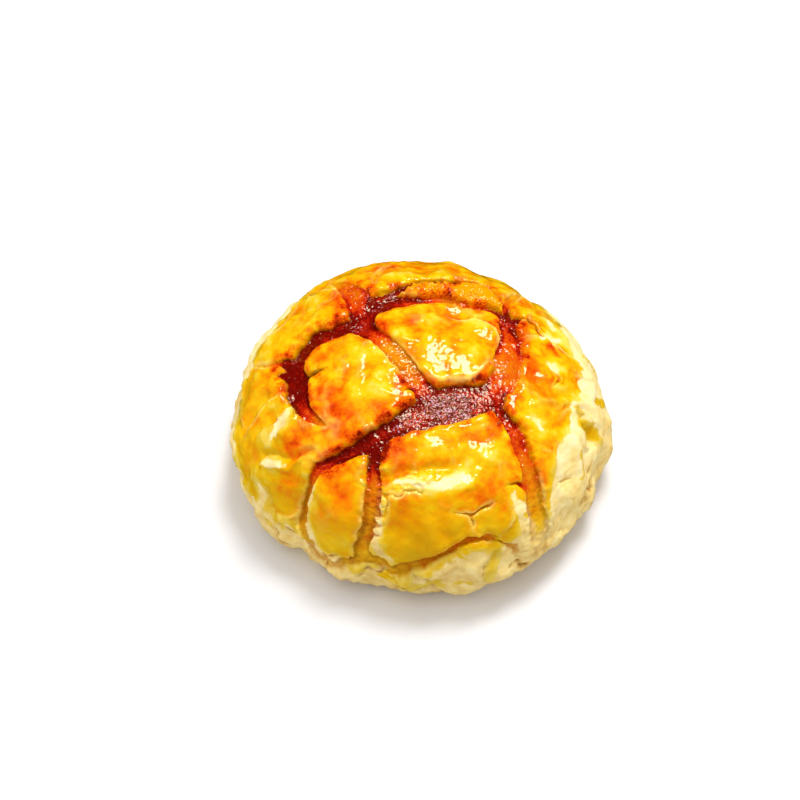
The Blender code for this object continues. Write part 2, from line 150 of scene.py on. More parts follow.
# %% [markdown]
# ## The dome, laid flat
#
# Everything on the bun is placed on a crust map: the skin of the dome peeled off and laid flat, seen from
# above. u runs to the right and v to the back, measured along the skin from the top. The dome itself is a
# superellipse above its widest line and a quarter ellipse that turns in below it. A map like this makes a
# crack a simple line on paper, where a crack on a sphere would be a line in space.

# %% The dome's profile
WIDTH, DEPTH, HEIGHT = 106 * MM, 104 * MM, 48 * MM
WIDEST_HEIGHT = 13 * MM
SQUARENESS = 2.3
FOOT_SHARE = 0.78
FOOT_TRIM = 0.5 * MM
PROFILE_STEPS = 720
MEAN_RADIUS = (WIDTH + DEPTH) / 4


def dome_profile():
    """Radius share, height and distance along the skin, from the top down the side and in below it."""
    swing = np.linspace(0.0, math.pi / 2, PROFILE_STEPS)
    drop = np.linspace(0.0, 1.0, PROFILE_STEPS // 4)[1:]
    upper_r = np.sin(swing) ** (2 / SQUARENESS)
    upper_z = WIDEST_HEIGHT + (HEIGHT - WIDEST_HEIGHT) * np.cos(swing) ** (2 / SQUARENESS)
    lower_r = FOOT_SHARE + (1 - FOOT_SHARE) * np.sqrt(np.clip(1 - drop**2, 0, 1))
    r = np.concatenate([upper_r, lower_r, [0.0]])
    z = np.concatenate([upper_z, WIDEST_HEIGHT * (1 - drop), [0.0]])
    skin = np.concatenate([[0.0], np.cumsum(np.hypot(np.diff(r) * MEAN_RADIUS, np.diff(z)))])
    return r, z, skin


PROFILE_R, PROFILE_Z, PROFILE_SKIN = dome_profile()
FOOT_SKIN = PROFILE_SKIN[-2]
print("skin from the top to the foot's edge, mm:", round(FOOT_SKIN / MM, 1))

# %% The uneven outline, and the way from the map to the dome
# Swellings and hollows of the outline: direction and half width in degrees, share of the radius
LOBES = [
    (2, 12, 0.025), (40, 18, -0.015), (57, 9, -0.024), (118, 12, 0.015), (182, 16, -0.022),
    (238, 24, -0.06), (268, 12, -0.025), (292, 16, 0.01), (330, 20, -0.012),
]


def bell(x):
    """1 where x is 0, falling to nothing by about 2 on both sides."""
    return np.exp(-(x**2))


def outline_share(direction):
    share = np.ones_like(direction)
    for middle, half_width, swell in LOBES:
        apart = (np.degrees(direction) - middle + 180) % 360 - 180
        share += swell * bell(apart / half_width)
    return share


def on_dome(u, v, lift):
    """Points of the dome at places on the crust map, raised along the skin's normal by lift."""
    skin, direction = np.hypot(u, v), np.arctan2(v, u)
    step = 1.0 * MM
    before, after = np.maximum(skin - step, 0), np.minimum(skin + step, PROFILE_SKIN[-1])
    run_r = np.interp(after, PROFILE_SKIN, PROFILE_R) - np.interp(before, PROFILE_SKIN, PROFILE_R)
    run_r *= MEAN_RADIUS
    run_z = np.interp(after, PROFILE_SKIN, PROFILE_Z) - np.interp(before, PROFILE_SKIN, PROFILE_Z)
    length = np.maximum(np.hypot(run_r, run_z), 1e-12)
    out, up = -run_z / length, run_r / length
    share = np.interp(skin, PROFILE_SKIN, PROFILE_R) * outline_share(direction)
    x = (share * WIDTH / 2 + out * lift) * np.cos(direction)
    y = (share * DEPTH / 2 + out * lift) * np.sin(direction)
    return np.stack([x, y, np.interp(skin, PROFILE_SKIN, PROFILE_Z) + up * lift], axis=-1)


front_foot = on_dome(np.zeros(1), np.full(1, -FOOT_SKIN), np.zeros(1))[0]
print("the foot's edge at the front, mm:", [round(float(c) / MM, 1) for c in front_foot])

# %% [markdown]
# ## Where the crust cracked
#
# Each crack is a stroke on the map, a few points with a half width, a depth and how dark the syrup in it
# baked, from 0 for bare yellow dough to 1 for nearly black red. A smooth curve through the points gives the
# stroke's middle. A brush stroke is the natural way to hold a crack, because its width and depth change
# along it, and a fold or a dent is the same thing with another profile.

# %% Wide cracks round the plates on top
# u, v, half width and depth in millimetres, then darkness
CRACKS = {
    "open_middle": [
        (-2, -19.6, 3.6, 2.4, 0.8), (4, -15.8, 5.2, 2.4, 0.75), (10, -14, 5.8, 2.4, 0.75),
        (16.3, -12.2, 4.9, 2.4, 0.8), (21.5, -10.8, 3.6, 2.4, 0.8)
    ],
    "front_left": [
        (0, -20.2, 3.2, 2.4, 0.8), (-6.2, -23, 2.6, 2.5, 0.85), (-12.3, -26.6, 2.7, 2.5, 0.85),
        (-18.2, -29.4, 2.6, 2.4, 0.85), (-23.6, -31, 1.9, 2, 0.75), (-29.6, -33.4, 1.4, 1.5, 0.5)
    ],
    "front_right": [
        (21, -12.5, 2.2, 2.3, 0.8), (23.8, -18.2, 2.2, 2.3, 0.7), (28, -23.2, 2.6, 2.2, 0.5),
        (30.6, -28.5, 2.8, 2, 0.45), (32.2, -33.7, 3, 1.7, 0.36), (33.9, -39.1, 3.5, 1.2, 0.24),
        (37.1, -44.8, 3.9, 0.9, 0.14), (40.9, -51.1, 3.8, 0.6, 0.07), (44.6, -58, 3, 0.5, 0.04),
        (47, -64, 2.4, 0.4, 0.03), (51, -72, 1.6, 0.4, 0.03)
    ],
    "right_of_top": [
        (21.5, -10.9, 3.4, 2.4, 0.65), (24, -2.7, 3.6, 2.2, 0.4), (24.8, 3.4, 3.5, 2, 0.45),
        (26, 11.2, 3, 2, 0.6), (25.8, 16.8, 2, 2.2, 0.75)
    ],
    "behind_top": [
        (25.8, 16.8, 2, 2.2, 0.7), (21.7, 20.7, 2, 2.2, 0.6), (15.4, 22.6, 2.1, 2.2, 0.42),
        (8.7, 23, 2.3, 2.2, 0.34), (2.1, 22.9, 2.4, 2.2, 0.55), (-4.1, 22.4, 2.7, 2.3, 0.7),
        (-10.1, 20.5, 3.2, 2.4, 0.9), (-14.9, 17.2, 3.5, 2.4, 0.9), (-15.9, 13, 3, 2.4, 0.85)
    ],
    "left_of_top": [
        (-15, 12.4, 2.8, 2, 0.85), (-9.7, 5.7, 2.9, 1.4, 0.42), (-6, 1.2, 2.7, 1.3, 0.3),
        (-2.5, -3.8, 2.6, 1.4, 0.3), (0.3, -8.5, 2.7, 1.8, 0.46), (3, -12, 3, 2.2, 0.75)
    ],
    "left_loop": [
        (-14.4, 13.4, 2.8, 2.3, 0.85), (-19.3, 12.2, 2.9, 2.3, 0.85), (-24.7, 11.6, 2.8, 2.2, 0.9),
        (-29.8, 9.2, 2.6, 2.3, 0.95), (-33.6, 5.6, 2.6, 2.4, 0.95), (-35.6, 1.3, 3.1, 2.5, 1),
        (-35.2, -3.3, 3.6, 2.5, 1), (-33.8, -9.1, 3.3, 2.3, 0.9), (-31.8, -14, 2.5, 1.9, 0.6),
        (-28.6, -18.3, 1.5, 1.2, 0.35), (-25.7, -21.3, 0, 0.6, 0.3)
    ],
    "back_left": [
        (-15.3, 15.8, 3, 2, 0.9), (-16.3, 20.5, 3.6, 1.4, 0.65), (-17.8, 25.4, 4, 1.1, 0.5),
        (-20.3, 30.5, 3.2, 0.9, 0.5), (-23.4, 35.5, 1.8, 0.6, 0.3), (-26.4, 40.8, 0, 0.3, 0.1)
    ],
    "back_strip": [
        (-12.3, 23.2, 1.8, 2, 0.85), (-6.1, 26.5, 1.2, 1.6, 0.7), (0.5, 30, 0.9, 1.3, 0.65),
        (9.2, 32, 1.1, 1.3, 0.8), (14.7, 33, 1.1, 1.3, 0.75), (20, 32.2, 1.1, 1.3, 0.8),
        (24.3, 28.8, 0.7, 1.4, 0.6), (26.2, 24, 0.9, 1.5, 0.6), (26.8, 18.2, 1.4, 2, 0.75)
    ],
    "right_rear": [
        (25.6, 23.3, 1, 1.4, 0.5), (28.2, 28.1, 1, 1.2, 0.3), (31.3, 33.9, 0.8, 0.8, 0.2),
        (34.4, 39.4, 0, 0.4, 0.1)
    ],
    "right_back": [
        (26.7, 16.9, 1.2, 1.8, 0.8), (29.7, 19.3, 0.9, 1.5, 0.8), (32.7, 18.6, 0.8, 1.3, 0.7),
        (36.1, 14.6, 0.6, 0.9, 0.6), (39.3, 10, 0, 0.5, 0.3)
    ],
    "right_shoulder": [(26.5, 9.2, 1, 1.4, 0.6), (30.4, 11.1, 0.8, 0.9, 0.4), (35.2, 11.9, 0, 0.4, 0.3)],
}
print(len(CRACKS), "cracks round the plates on top")

# %% Cracks down the front and the flanks
# u, v, half width and depth in millimetres, then darkness
CRACKS |= {
    "front_split": [
        (-12.3, -27.5, 1.5, 2.3, 0.95), (-12.1, -32.7, 1.8, 2.3, 0.9), (-12.6, -38, 2.4, 2.1, 0.45),
        (-13.3, -44.3, 2.4, 1.9, 0.3), (-15, -50.6, 2.1, 1.7, 0.25), (-18, -56.4, 2.7, 1.6, 0.2),
        (-18.8, -60.2, 3.3, 1.5, 0.15), (-14.5, -63.8, 1.6, 1.4, 0.15)
    ],
    "round_small_plate": [
        (-29.8, -33.4, 1.3, 1.5, 0.5), (-34, -38.3, 1.8, 1.4, 0.35), (-38.2, -43.5, 1.6, 1.3, 0.25),
        (-41, -49.5, 1.3, 1.2, 0.2), (-41, -55.5, 1.1, 1.1, 0.15), (-38.8, -61, 1.1, 1.1, 0.15),
        (-32, -64.6, 1.2, 1.1, 0.15), (-24, -64.2, 1.6, 1.3, 0.15), (-20, -62.5, 2, 1.4, 0.15)
    ],
    "under_front_plate": [
        (-14, -64.6, 1.4, 1.4, 0.15), (-8.6, -67, 1.9, 1.6, 0.15), (-2.8, -65, 2, 1.8, 0.2),
        (4.4, -61.2, 1.8, 1.8, 0.28), (12, -55.6, 1.4, 1.7, 0.36), (18.2, -52.3, 0.8, 1.3, 0.38),
        (23.3, -50.7, 0, 0.6, 0.1)
    ],
    "left_flank": [
        (-35.6, 3, 2, 1.9, 0.9), (-38.8, 4.6, 1.6, 1.4, 0.75), (-41.8, 5.6, 0.8, 1, 0.45),
        (-45.5, 6.2, 0.4, 0.7, 0.25), (-50.5, 8.6, 0, 0.4, 0.1)
    ],
    "left_red_corner": [
        (-35.8, -0.6, 1.8, 2, 0.95), (-39.4, 0.4, 1.1, 1.5, 0.9), (-42.4, 1.4, 0, 0.5, 0.5)
    ],
    "left_notch": [(-33.9, -3.2, 1.2, 2, 1), (-29.6, -2.8, 0.9, 1.6, 0.9), (-24.7, -2.2, 0, 0.6, 0.5)],
    "right_flank_crack": [
        (42.6, -33.6, 0, 0.3, 0.1), (46, -32.2, 0.35, 0.8, 0.15), (49.5, -30.5, 0, 0.3, 0.1)
    ],
    "right_rim_crack": [
        (52.9, -25.8, 0, 0.3, 0.1), (54.8, -27.5, 0.25, 0.6, 0.1), (56.5, -29.4, 0, 0.3, 0.1)
    ],
    "right_plate_crack": [
        (36.8, 0.9, 0, 0.3, 0.4), (38.6, -0.4, 0.3, 0.8, 0.5), (39, -2, 0.3, 0.8, 0.5),
        (38.3, -3.9, 0, 0.3, 0.3)
    ],
}
print(len(CRACKS), "cracks with those down the front and the flanks")

# %% Thin cracks, nicks and tears
# u, v, half width and depth in millimetres, then darkness
CRACKS |= {
    "front_lip": [
        (10.2, -45.3, 0, 0.3, 0.3), (13.4, -45, 0.15, 0.7, 0.3), (16, -44.2, 0.2, 0.9, 0.3),
        (18.4, -42.6, 0.3, 1, 0.35), (20.8, -40.8, 0, 0.4, 0.3)
    ],
    "front_lip_branch": [
        (15.3, -44.6, 0.1, 0.7, 0.3), (16, -46.8, 0.15, 0.7, 0.3), (15.8, -49.2, 0, 0.3, 0.2)
    ],
    "low_crack": [
        (18.9, -51.2, 0.2, 0.6, 0.35), (22.4, -51.8, 0.4, 0.9, 0.4), (24.9, -53.1, 0.3, 0.8, 0.4),
        (28.2, -54.2, 0.4, 0.9, 0.3), (31.8, -54.9, 0.5, 1, 0.25), (34.3, -57.3, 0.2, 0.6, 0.2)
    ],
    "low_crack_branch": [
        (31.8, -54.9, 0.4, 0.9, 0.25), (34.6, -55.4, 0.2, 0.7, 0.2), (37, -54.2, 0, 0.3, 0.1)
    ],
    "left_tip_cut": [(-4, -11.2, 0, 0.3, 0.8), (-1, -9.8, 0.6, 1.3, 0.95), (2, -8.6, 0.9, 1.9, 0.9)],
    "back_seam": [
        (-11.5, 30, 0, 0.3, 0.3), (-11.9, 33, 0.3, 0.7, 0.35), (-11.1, 38.8, 0.3, 0.6, 0.3),
        (-8.5, 43.6, 0, 0.3, 0.2)
    ],
    "front_edge_nick": [
        (-13.2, -47.3, 0.4, 0.8, 0.3), (-10.8, -47.9, 0.2, 0.7, 0.3), (-8.8, -47.4, 0, 0.3, 0.2)
    ],
    "front_edge_nick_middle": [
        (-14, -50.8, 0.4, 0.8, 0.3), (-11.6, -50.8, 0.2, 0.6, 0.3), (-9.8, -50.2, 0, 0.3, 0.2)
    ],
    "front_edge_nick_low": [
        (-15.2, -54.2, 0.4, 0.7, 0.3), (-12.8, -54, 0.2, 0.6, 0.3), (-11.2, -53.4, 0, 0.3, 0.2)
    ],
    "front_crest_tear": [
        (-10.2, -41.3, 0, 0.3, 0.2), (-8.9, -41.4, 0.12, 0.6, 0.2), (-7.7, -42.3, 0.15, 0.7, 0.2),
        (-6.6, -41.5, 0.12, 0.6, 0.2), (-5.4, -42.3, 0.15, 0.7, 0.2), (-3.6, -41.5, 0.12, 0.6, 0.2),
        (-2.2, -40.5, 0.15, 0.6, 0.2), (0.6, -40.8, 0.1, 0.5, 0.2), (3, -39.3, 0, 0.3, 0.2)
    ],
    "front_side_tear": [
        (-8.9, -41.6, 0.1, 0.5, 0.2), (-7.9, -44.4, 0.15, 0.6, 0.2), (-9.2, -46, 0.1, 0.5, 0.2),
        (-9.2, -48.6, 0, 0.3, 0.2)
    ],
    "front_notch": [(31.2, -36.5, 1, 1.4, 0.5), (27.5, -36, 0.5, 1, 0.6), (24.4, -36.8, 0, 0.4, 0.4)],
}
print(len(CRACKS), "cracks in all")

# %% [markdown]
# Dents and folds are softer: the crust bends there and doesn't break. Each is a height in millimetres,
# below zero for a dent, and the same kind of stroke.

# %% Folds and dents at the front and on the left
# u, v and half width in millimetres
FOLDS = {
    "front_fold": (-1.4, [
        (-10, -38, 1.2), (-4.6, -36.6, 1.4), (1, -34.8, 1.5), (6.3, -34, 1.5), (12.5, -31.5, 1.2)
    ]),
    "front_groove": (-0.9, [(10, -22, 1), (11, -26, 1.3), (12, -30.5, 1.2)]),
    "front_groove_left": (-0.5, [(0, -26, 0.9), (0.8, -29, 1.1), (0.2, -32, 1.1)]),
    "front_brow": (0.8, [(-6, -42.5, 2.6), (3, -42, 3), (12, -39.5, 3.2), (18, -36, 3)]),
    "front_shine_ridge": (0.6, [(18.5, -31, 0.9), (16, -34.8, 1.2), (13, -38, 0.8)]),
    "small_plate_crown": (0.7, [(-21, -42, 5), (-21, -52, 5)]),
    "left_valley": (-1.3, [(-35.5, -36, 2.6), (-39, -42, 3), (-41, -48, 2.6)]),
    "left_hollow": (-1.8, [(-45, -5, 1.8), (-50, -8, 2.4), (-53, -12, 1.8)]),
    "left_hollow_low": (-1, [(-38.5, -11, 1.3), (-43, -14.5, 1.6), (-47, -17, 1.2)]),
    "left_knob": (0.9, [(-39, -4.8, 1.4), (-38, -7.2, 1.3)]),
    "left_corner": (1.3, [(-34, -17, 2.2), (-36.5, -20, 2.4)]),
    "left_lower_dent": (-1.3, [
        (-45, -23.8, 0.9), (-40.7, -25.6, 1.2), (-36.6, -27.1, 1.2), (-31, -27, 1)
    ]),
    "left_lower_ridge": (1.1, [(-46, -26.5, 1.1), (-42, -28.6, 1.4), (-38, -29.8, 1.4), (-34, -28.6, 1)]),
    "left_lower_bulge": (0.8, [(-46, -31, 3), (-40, -36, 3.4)]),
    "left_foot_dent": (-1.5, [(-48, -34.5, 1.1), (-49.6, -38, 1.5), (-50.6, -41, 1.1)]),
    "left_foot_ridge": (0.8, [(-46, -34.5, 0.8), (-47.6, -38, 0.9), (-48.5, -41.5, 0.9)]),
    "left_foot_roll": (0.7, [(-44, -50, 3), (-41, -58, 3.2), (-35, -66, 2.6)]),
}
print(len(FOLDS), "folds and dents at the front and on the left")

# %% Folds and dents on the right, on the plates and at the foot
# u, v and half width in millimetres
FOLDS |= {
    "right_pit": (-1.1, [(45.8, -9.2, 0.8), (48.6, -9.9, 1.1)]),
    "right_hollow": (-1.8, [(49.5, -12.6, 1.2), (53, -12.6, 2), (56.5, -15.5, 2.2)]),
    "right_long_ridge": (0.7, [
        (31.5, -12.2, 0.7), (34, -10.6, 1.1), (39.6, -8.6, 1.2), (46, -6.6, 1.3), (54, -5, 1.2)
    ]),
    "right_orange_hollow": (-0.8, [(32, -4.5, 2), (38, -6, 2.2), (44, -4, 1.8)]),
    "right_bump": (0.7, [(35.6, -1.2, 1.9), (36.4, -2.2, 1.8)]),
    "right_brow": (0.8, [(40, 5, 2.4), (46, 2, 2.6), (52, -0.5, 2.4)]),
    "right_blister": (0.5, [(36.4, 7.7, 1.1), (37.4, 7.9, 1)]),
    "right_lower_ridge": (0.9, [(45, -20, 2.6), (50, -25, 2.8), (54, -32, 2.6)]),
    "left_plate_ridge": (0.5, [
        (-15.8, 3.2, 0.6), (-19.7, 1.7, 0.8), (-21.4, -0.4, 0.8), (-22, -2.8, 0.7), (-21, -4.8, 0.5)
    ]),
    "left_plate_groove": (-0.5, [(-19, 6, 0.8), (-23, 3, 1), (-24.6, -0.5, 0.9)]),
    "left_plate_edge_ridge": (0.4, [
        (-14.6, 1, 0.5), (-11.8, 1.9, 0.6), (-8.6, 1.8, 0.7), (-6, -0.8, 0.6), (-4, -3.9, 0.5)
    ]),
    "left_plate_shine_ridge": (0.5, [
        (-10.7, -6.5, 0.6), (-10.9, -9.5, 0.8), (-9.8, -12, 0.9), (-6, -13.6, 0.7)
    ]),
    "top_plate_ridge": (0.4, [(-5.3, 6.2, 0.5), (-3.3, 5.1, 0.6), (0, 5, 0.5)]),
    "top_plate_crown": (0.6, [(3, 5.2, 5.5), (6.5, 5.2, 5.5)]),
    "top_plate_slope": (-0.4, [(7, -6.4, 4), (11, -5.4, 4)]),
    "top_plate_loop": (0.4, [(6.2, 18.4, 0.5), (6.6, 14.4, 0.6), (9.4, 13.6, 0.6), (10.8, 10, 0.5)]),
    "right_front_dent": (-1.1, [(22, -61, 1.6), (25, -58, 1.4)]),
    "front_foot_ridge": (1.2, [(3, -66, 2.2), (12, -63, 2.6), (22, -60, 2.6)]),
}
print(len(FOLDS), "folds and dents in all")

# %% [markdown]
# Where one layer of crust lies over the next it ends in a lip: high on one side and low on the other, and
# level again a few millimetres away. A ledge is a stroke with a side. The left of it is the high one, seen
# along the way that its points run.

# %% Ledges on top, at the front and on the left
# Rise and fade in millimetres, then u, v and how strong the ledge is there
LEDGES = {
    "top_plate_step": (0.8, 2.6, [
        (21.4, -0.5, 0), (22, 4.7, 0.7), (21.7, 9.1, 1), (20.6, 12.4, 1), (18.2, 13.9, 1),
        (14.1, 14.2, 1), (9.8, 15, 0.7), (7, 16.5, 0)
    ]),
    "top_plate_front": (0.6, 1.6, [
        (1, -5, 0), (5, -7.4, 0.7), (10.6, -7.6, 1), (14.1, -6.6, 1), (17, -4.4, 1), (19, -1.5, 0.6),
        (20.4, 2, 0)
    ]),
    "front_fold_crest": (1.2, 3.2, [
        (15, -32.5, 0), (10.3, -34.3, 0.8), (8.3, -35.8, 1), (6.2, -37.8, 1), (4.1, -39, 1),
        (2, -38.2, 1), (-0.7, -37, 1), (-3.5, -37.8, 1), (-7, -39.3, 0.7), (-10, -40, 0)
    ]),
    "left_rim": (1.2, 3.5, [
        (-33, 42, 0), (-35.4, 38, 0.8), (-36.9, 31.1, 1), (-38.8, 24.7, 1), (-40.8, 18.6, 1),
        (-44, 15.6, 1), (-48, 15.4, 0.8), (-52.1, 14.1, 0.7), (-55, 10, 1), (-56.6, 5.7, 1),
        (-57.6, 0, 1), (-56.6, -7.5, 0.8), (-55, -13, 0)
    ]),
    "left_ridge": (1.1, 3, [
        (-38.5, -6.2, 0), (-41, -7.2, 0.9), (-45, -9, 1), (-49, -12, 1), (-52.9, -14.6, 0.7),
        (-55, -17, 0)
    ]),
    "left_pale_corner": (0.9, 3, [
        (-34, -9, 0), (-35.8, -10.8, 0.9), (-37.4, -13.9, 1), (-40.3, -16.4, 1), (-43.5, -17.6, 0)
    ]),
    "left_low_step": (0.9, 2.5, [
        (-39, -42.5, 0), (-42, -43.9, 1), (-45, -44, 1), (-49, -41.7, 0.8), (-52, -38, 0)
    ]),
    "back_left_plate": (0.8, 3, [
        (-18.5, 20.5, 0), (-19.8, 24.4, 1), (-22.2, 29.6, 1), (-25.7, 33, 1), (-31, 35.8, 0.8),
        (-36, 37, 0)
    ]),
}
print(len(LEDGES), "ledges on top, at the front and on the left")

# %% Ledges on the right, and thin lips
# Rise and fade in millimetres, then u, v and how strong the ledge is there
LEDGES |= {
    "right_top": (1, 3.5, [
        (53, 3, 0), (50.5, 5.3, 0.6), (46.5, 8.1, 1), (43, 10.3, 1), (39.4, 11.9, 1), (35.9, 12.5, 1),
        (32.6, 12.2, 1), (29.3, 11.2, 0.7), (27, 10, 0)
    ]),
    "right_notch": (0.8, 2, [(44, 0, 0), (46, 0.6, 1), (48.4, 1.2, 1), (50.4, 3.2, 0.8), (53, 4, 0)]),
    "right_pale_rim": (0.9, 3, [
        (57, -8, 0), (53, -8.6, 0.8), (49, -8.3, 1), (45, -8.6, 1), (42, -11, 0.6), (40.5, -15, 0)
    ]),
    "right_low_roll": (0.8, 3, [
        (44, -17, 0), (48, -18.4, 0.8), (53, -18.8, 1), (58, -17.6, 0.8), (61, -16, 0)
    ]),
    "strip_rim": (0.5, 1.8, [
        (25.8, 24.4, 0), (23.8, 27.6, 0.8), (21.3, 30.1, 1), (18, 31.3, 1), (14, 31.6, 0.8),
        (8, 30.6, 0.5), (3, 29.6, 0)
    ]),
    "front_right_lip": (0.7, 2.5, [
        (24, -50, 0), (26.8, -48.6, 0.8), (27.6, -46, 0.9), (27, -43, 0.6), (25, -40, 0)
    ]),
    "small_plate_rim": (0.5, 1.6, [
        (-30, -36, 0), (-33.6, -40.8, 0.8), (-36.2, -45.5, 1), (-38, -50.5, 1), (-37.8, -55.8, 1),
        (-35.4, -60.3, 0.8), (-30, -63, 0)
    ]),
}
print(len(LEDGES), "ledges in all")

# %% [markdown]
# ## How far a place is from a crack
#
# The plates are what is left between the cracks, so no plate is drawn. The distance to every crack's edge
# is worked out at each place, and the distances are blended so that two cracks that meet round off the
# corner of the plate between them, as a breaking crust does.

# %% Curves through the strokes
ROUTE_STEP = 1.0 * MM


def smooth_step(x):
    x = np.clip(x, 0.0, 1.0)
    return x * x * (3.0 - 2.0 * x)


def smooth_route(points, scale):
    """A curve through the stroke's points, about ROUTE_STEP apart."""
    p = np.array(points, float) * scale
    ends = np.vstack([2 * p[0] - p[1], p, 2 * p[-1] - p[-2]])
    curve = []
    for a, b, c, d in zip(ends, ends[1:], ends[2:], ends[3:]):
        count = max(2, int(np.hypot(*(c - b)[:2]) / ROUTE_STEP))
        for t in np.arange(count) / count:
            bend, twist = 2 * a - 5 * b + 4 * c - d, 3 * b - a - 3 * c + d
            curve.append(0.5 * (2 * b + (c - a) * t + bend * t**2 + twist * t**3))
    curve.append(p[-1])
    return np.array(curve)


CRACK_ROUTES = [smooth_route(points, [MM, MM, MM, MM, 1]) for points in CRACKS.values()]
FOLD_ROUTES = [(rise * MM, smooth_route(points, [MM, MM, MM])) for rise, points in FOLDS.values()]
LEDGE_ROUTES = [
    (rise * MM, fade * MM, smooth_route(points, [MM, MM, 1])) for rise, fade, points in LEDGES.values()
]
print(sum(len(route) for route in CRACK_ROUTES), "points along the cracks")


# %% Distance to the strokes
def close_to(u, v, route, reach):
    """The places that lie within reach of the route's box; the others needn't be measured."""
    low, high = route[:, :2].min(axis=0) - reach, route[:, :2].max(axis=0) + reach
    return (u > low[0]) & (u < high[0]) & (v > low[1]) & (v < high[1])


def nearest_on_piece(u, v, a, along):
    """How far along a straight piece of a route the nearest point lies, 0 to 1, and how far off it is."""
    t = np.clip(((u - a[0]) * along[0] + (v - a[1]) * along[1]) / (along[0] ** 2 + along[1] ** 2), 0, 1)
    return t, np.hypot(u - a[0] - t * along[0], v - a[1] - t * along[1])


def nearest_on_route(u, v, route):
    """How far each place lies outside the stroke's edge, and what the stroke holds there after u and v."""
    best = np.full(u.shape, 1.0)
    held = np.zeros(u.shape + (route.shape[1] - 2,))
    for a, b in zip(route, route[1:]):
        t, apart = nearest_on_piece(u, v, a, b - a)
        here = a[2:] + t[..., None] * (b - a)[2:]
        outside = apart - here[..., 0]
        nearer = outside < best
        best = np.where(nearer, outside, best)
        held[nearer] = here[nearer]
    return best, held


def outside_strokes(u, v, strokes):
    """Distance outside the nearest stroke's edge, below zero inside it."""
    nearest = np.full(u.shape, 1.0)
    for points in strokes:
        nearest = np.minimum(nearest, nearest_on_route(u, v, smooth_route(points, [MM, MM, MM]))[0])
    return nearest


to_stroke = outside_strokes(np.zeros(1), np.zeros(1), [[(10, -5, 2), (10, 5, 2)]])[0]
print("10 mm from the middle of a stroke of half width 2 mm is", round(to_stroke / MM, 1), "mm outside it")

# %% The field of the cracks
CORNER_ROUNDING = 0.7 * MM
DEEPEST_CRACK = 2.5 * MM
FIELD_REACH, FIELD_INNER_REACH = 12 * MM, 8 * MM


def crack_field(u, v):
    """Distance outside the nearest crack's edge, and that crack's half width, depth and darkness."""
    total = np.zeros_like(u)
    blended = np.zeros(u.shape + (3,))
    for route in CRACK_ROUTES:
        close = close_to(u, v, route, FIELD_REACH)
        outside, held = nearest_on_route(u[close], v[close], route)
        weight = np.exp(-np.maximum(outside, -FIELD_INNER_REACH) / CORNER_ROUNDING)
        total[close] += weight
        blended[close] += weight[:, None] * held
    far = math.exp(-FIELD_REACH / CORNER_ROUNDING)
    half_width, depth, darkness = np.moveaxis(blended / np.maximum(total, far)[..., None], -1, 0)
    outside = -CORNER_ROUNDING * np.log(np.maximum(total, far))
    return outside, half_width, np.clip(depth, 0, DEEPEST_CRACK), np.clip(darkness, 0, 1)


to_crack = crack_field(np.zeros(1), np.zeros(1))[0][0]
print("from the top of the dome to the nearest crack, mm:", round(to_crack / MM, 1))

# %% The field of the ledges
LIP_WIDTH = 0.35 * MM


def signed_distance(u, v, route):
    """Distance to the route, above zero on its left, and what the route holds at its nearest point."""
    best, signed, value = (np.full(u.shape, start) for start in (1.0, 1.0, 0.0))
    for a, b in zip(route, route[1:]):
        along = b - a
        t, apart = nearest_on_piece(u, v, a, along)
        nearer = apart < best
        best = np.where(nearer, apart, best)
        side = np.where(along[0] * (v - a[1]) - along[1] * (u - a[0]) > 0, 1.0, -1.0)
        signed = np.where(nearer, side * apart, signed)
        value = np.where(nearer, a[2] + t * along[2], value)
    return signed, value


def ledge_field(u, v):
    """Height of the ledges, and how near a place is to a lip and to the foot below it, from 0 to 1."""
    height, lip, foot = (np.zeros_like(u) for _ in range(3))
    for rise, fade, route in LEDGE_ROUTES:
        close = close_to(u, v, route, 4 * fade)
        signed, strength = signed_distance(u[close], v[close], route)
        step = 0.5 * rise * strength * np.tanh(signed / LIP_WIDTH)
        height[close] += step * np.exp(-np.abs(signed) / fade)
        lip[close] = np.maximum(lip[close], strength * bell((signed - 0.5 * MM) / (0.45 * MM)))
        foot[close] = np.maximum(foot[close], strength * bell((signed + 0.5 * MM) / (0.6 * MM)))
    return height, lip, foot


print("highest ledge, mm:", max(rise for rise, _, _ in LEDGE_ROUTES) / MM)

# %% [markdown]
# ## Noise
#
# A crack wanders, and dough is never smooth. Blender's own noise, read at the place on the dome, gives
# both. It has no seed: the same place always gets the same value.


# %% Noise at many places
def noise_at(places, wavelength, offset):
    shift = Vector((offset, -offset, 0.5 * offset))
    return np.array([noise.noise(Vector(p) / wavelength + shift) for p in places])


WANDERS = [(8 * MM, 1.3 * MM, 3.1), (2.6 * MM, 0.55 * MM, 31.0), (1.2 * MM, 0.20 * MM, 57.0)]
RAGGED_FRONT = 0.4  # how much more the edges wander low at the front


def strayed(u, v, places):
    """The places where the cracks are looked up, so that their edges wander."""
    ragged = 1 + RAGGED_FRONT * smooth_step((-v / MM - 36) / 10)
    for wavelength, distance, offset in WANDERS:
        reach = distance * (ragged if wavelength < 5 * MM else 1)
        u = u + reach * noise_at(places, wavelength, offset)
        v = v + reach * noise_at(places, wavelength, offset + 5.6)
    return u, v


print("noise at the top of the dome:", round(noise_at([(0, 0, HEIGHT)], 6 * MM, 91.0)[0], 2))

# %% [markdown]
# ## The skin as one mesh
#
# The skin starts as an icosphere, whose triangles are all alike, so no pole pinches at the top. Its rays
# are spread so that few fall on the hidden foot. Faces are then split where a plate's edge will drop, which
# puts the points where the shape turns sharply and keeps the count down. Splitting first and moving the
# points afterwards keeps every triangle in a neat pattern.

# %% A sphere that is finer near the cracks
SPHERE_SUBDIVISIONS = 7
FOOT_RAY = math.radians(135)


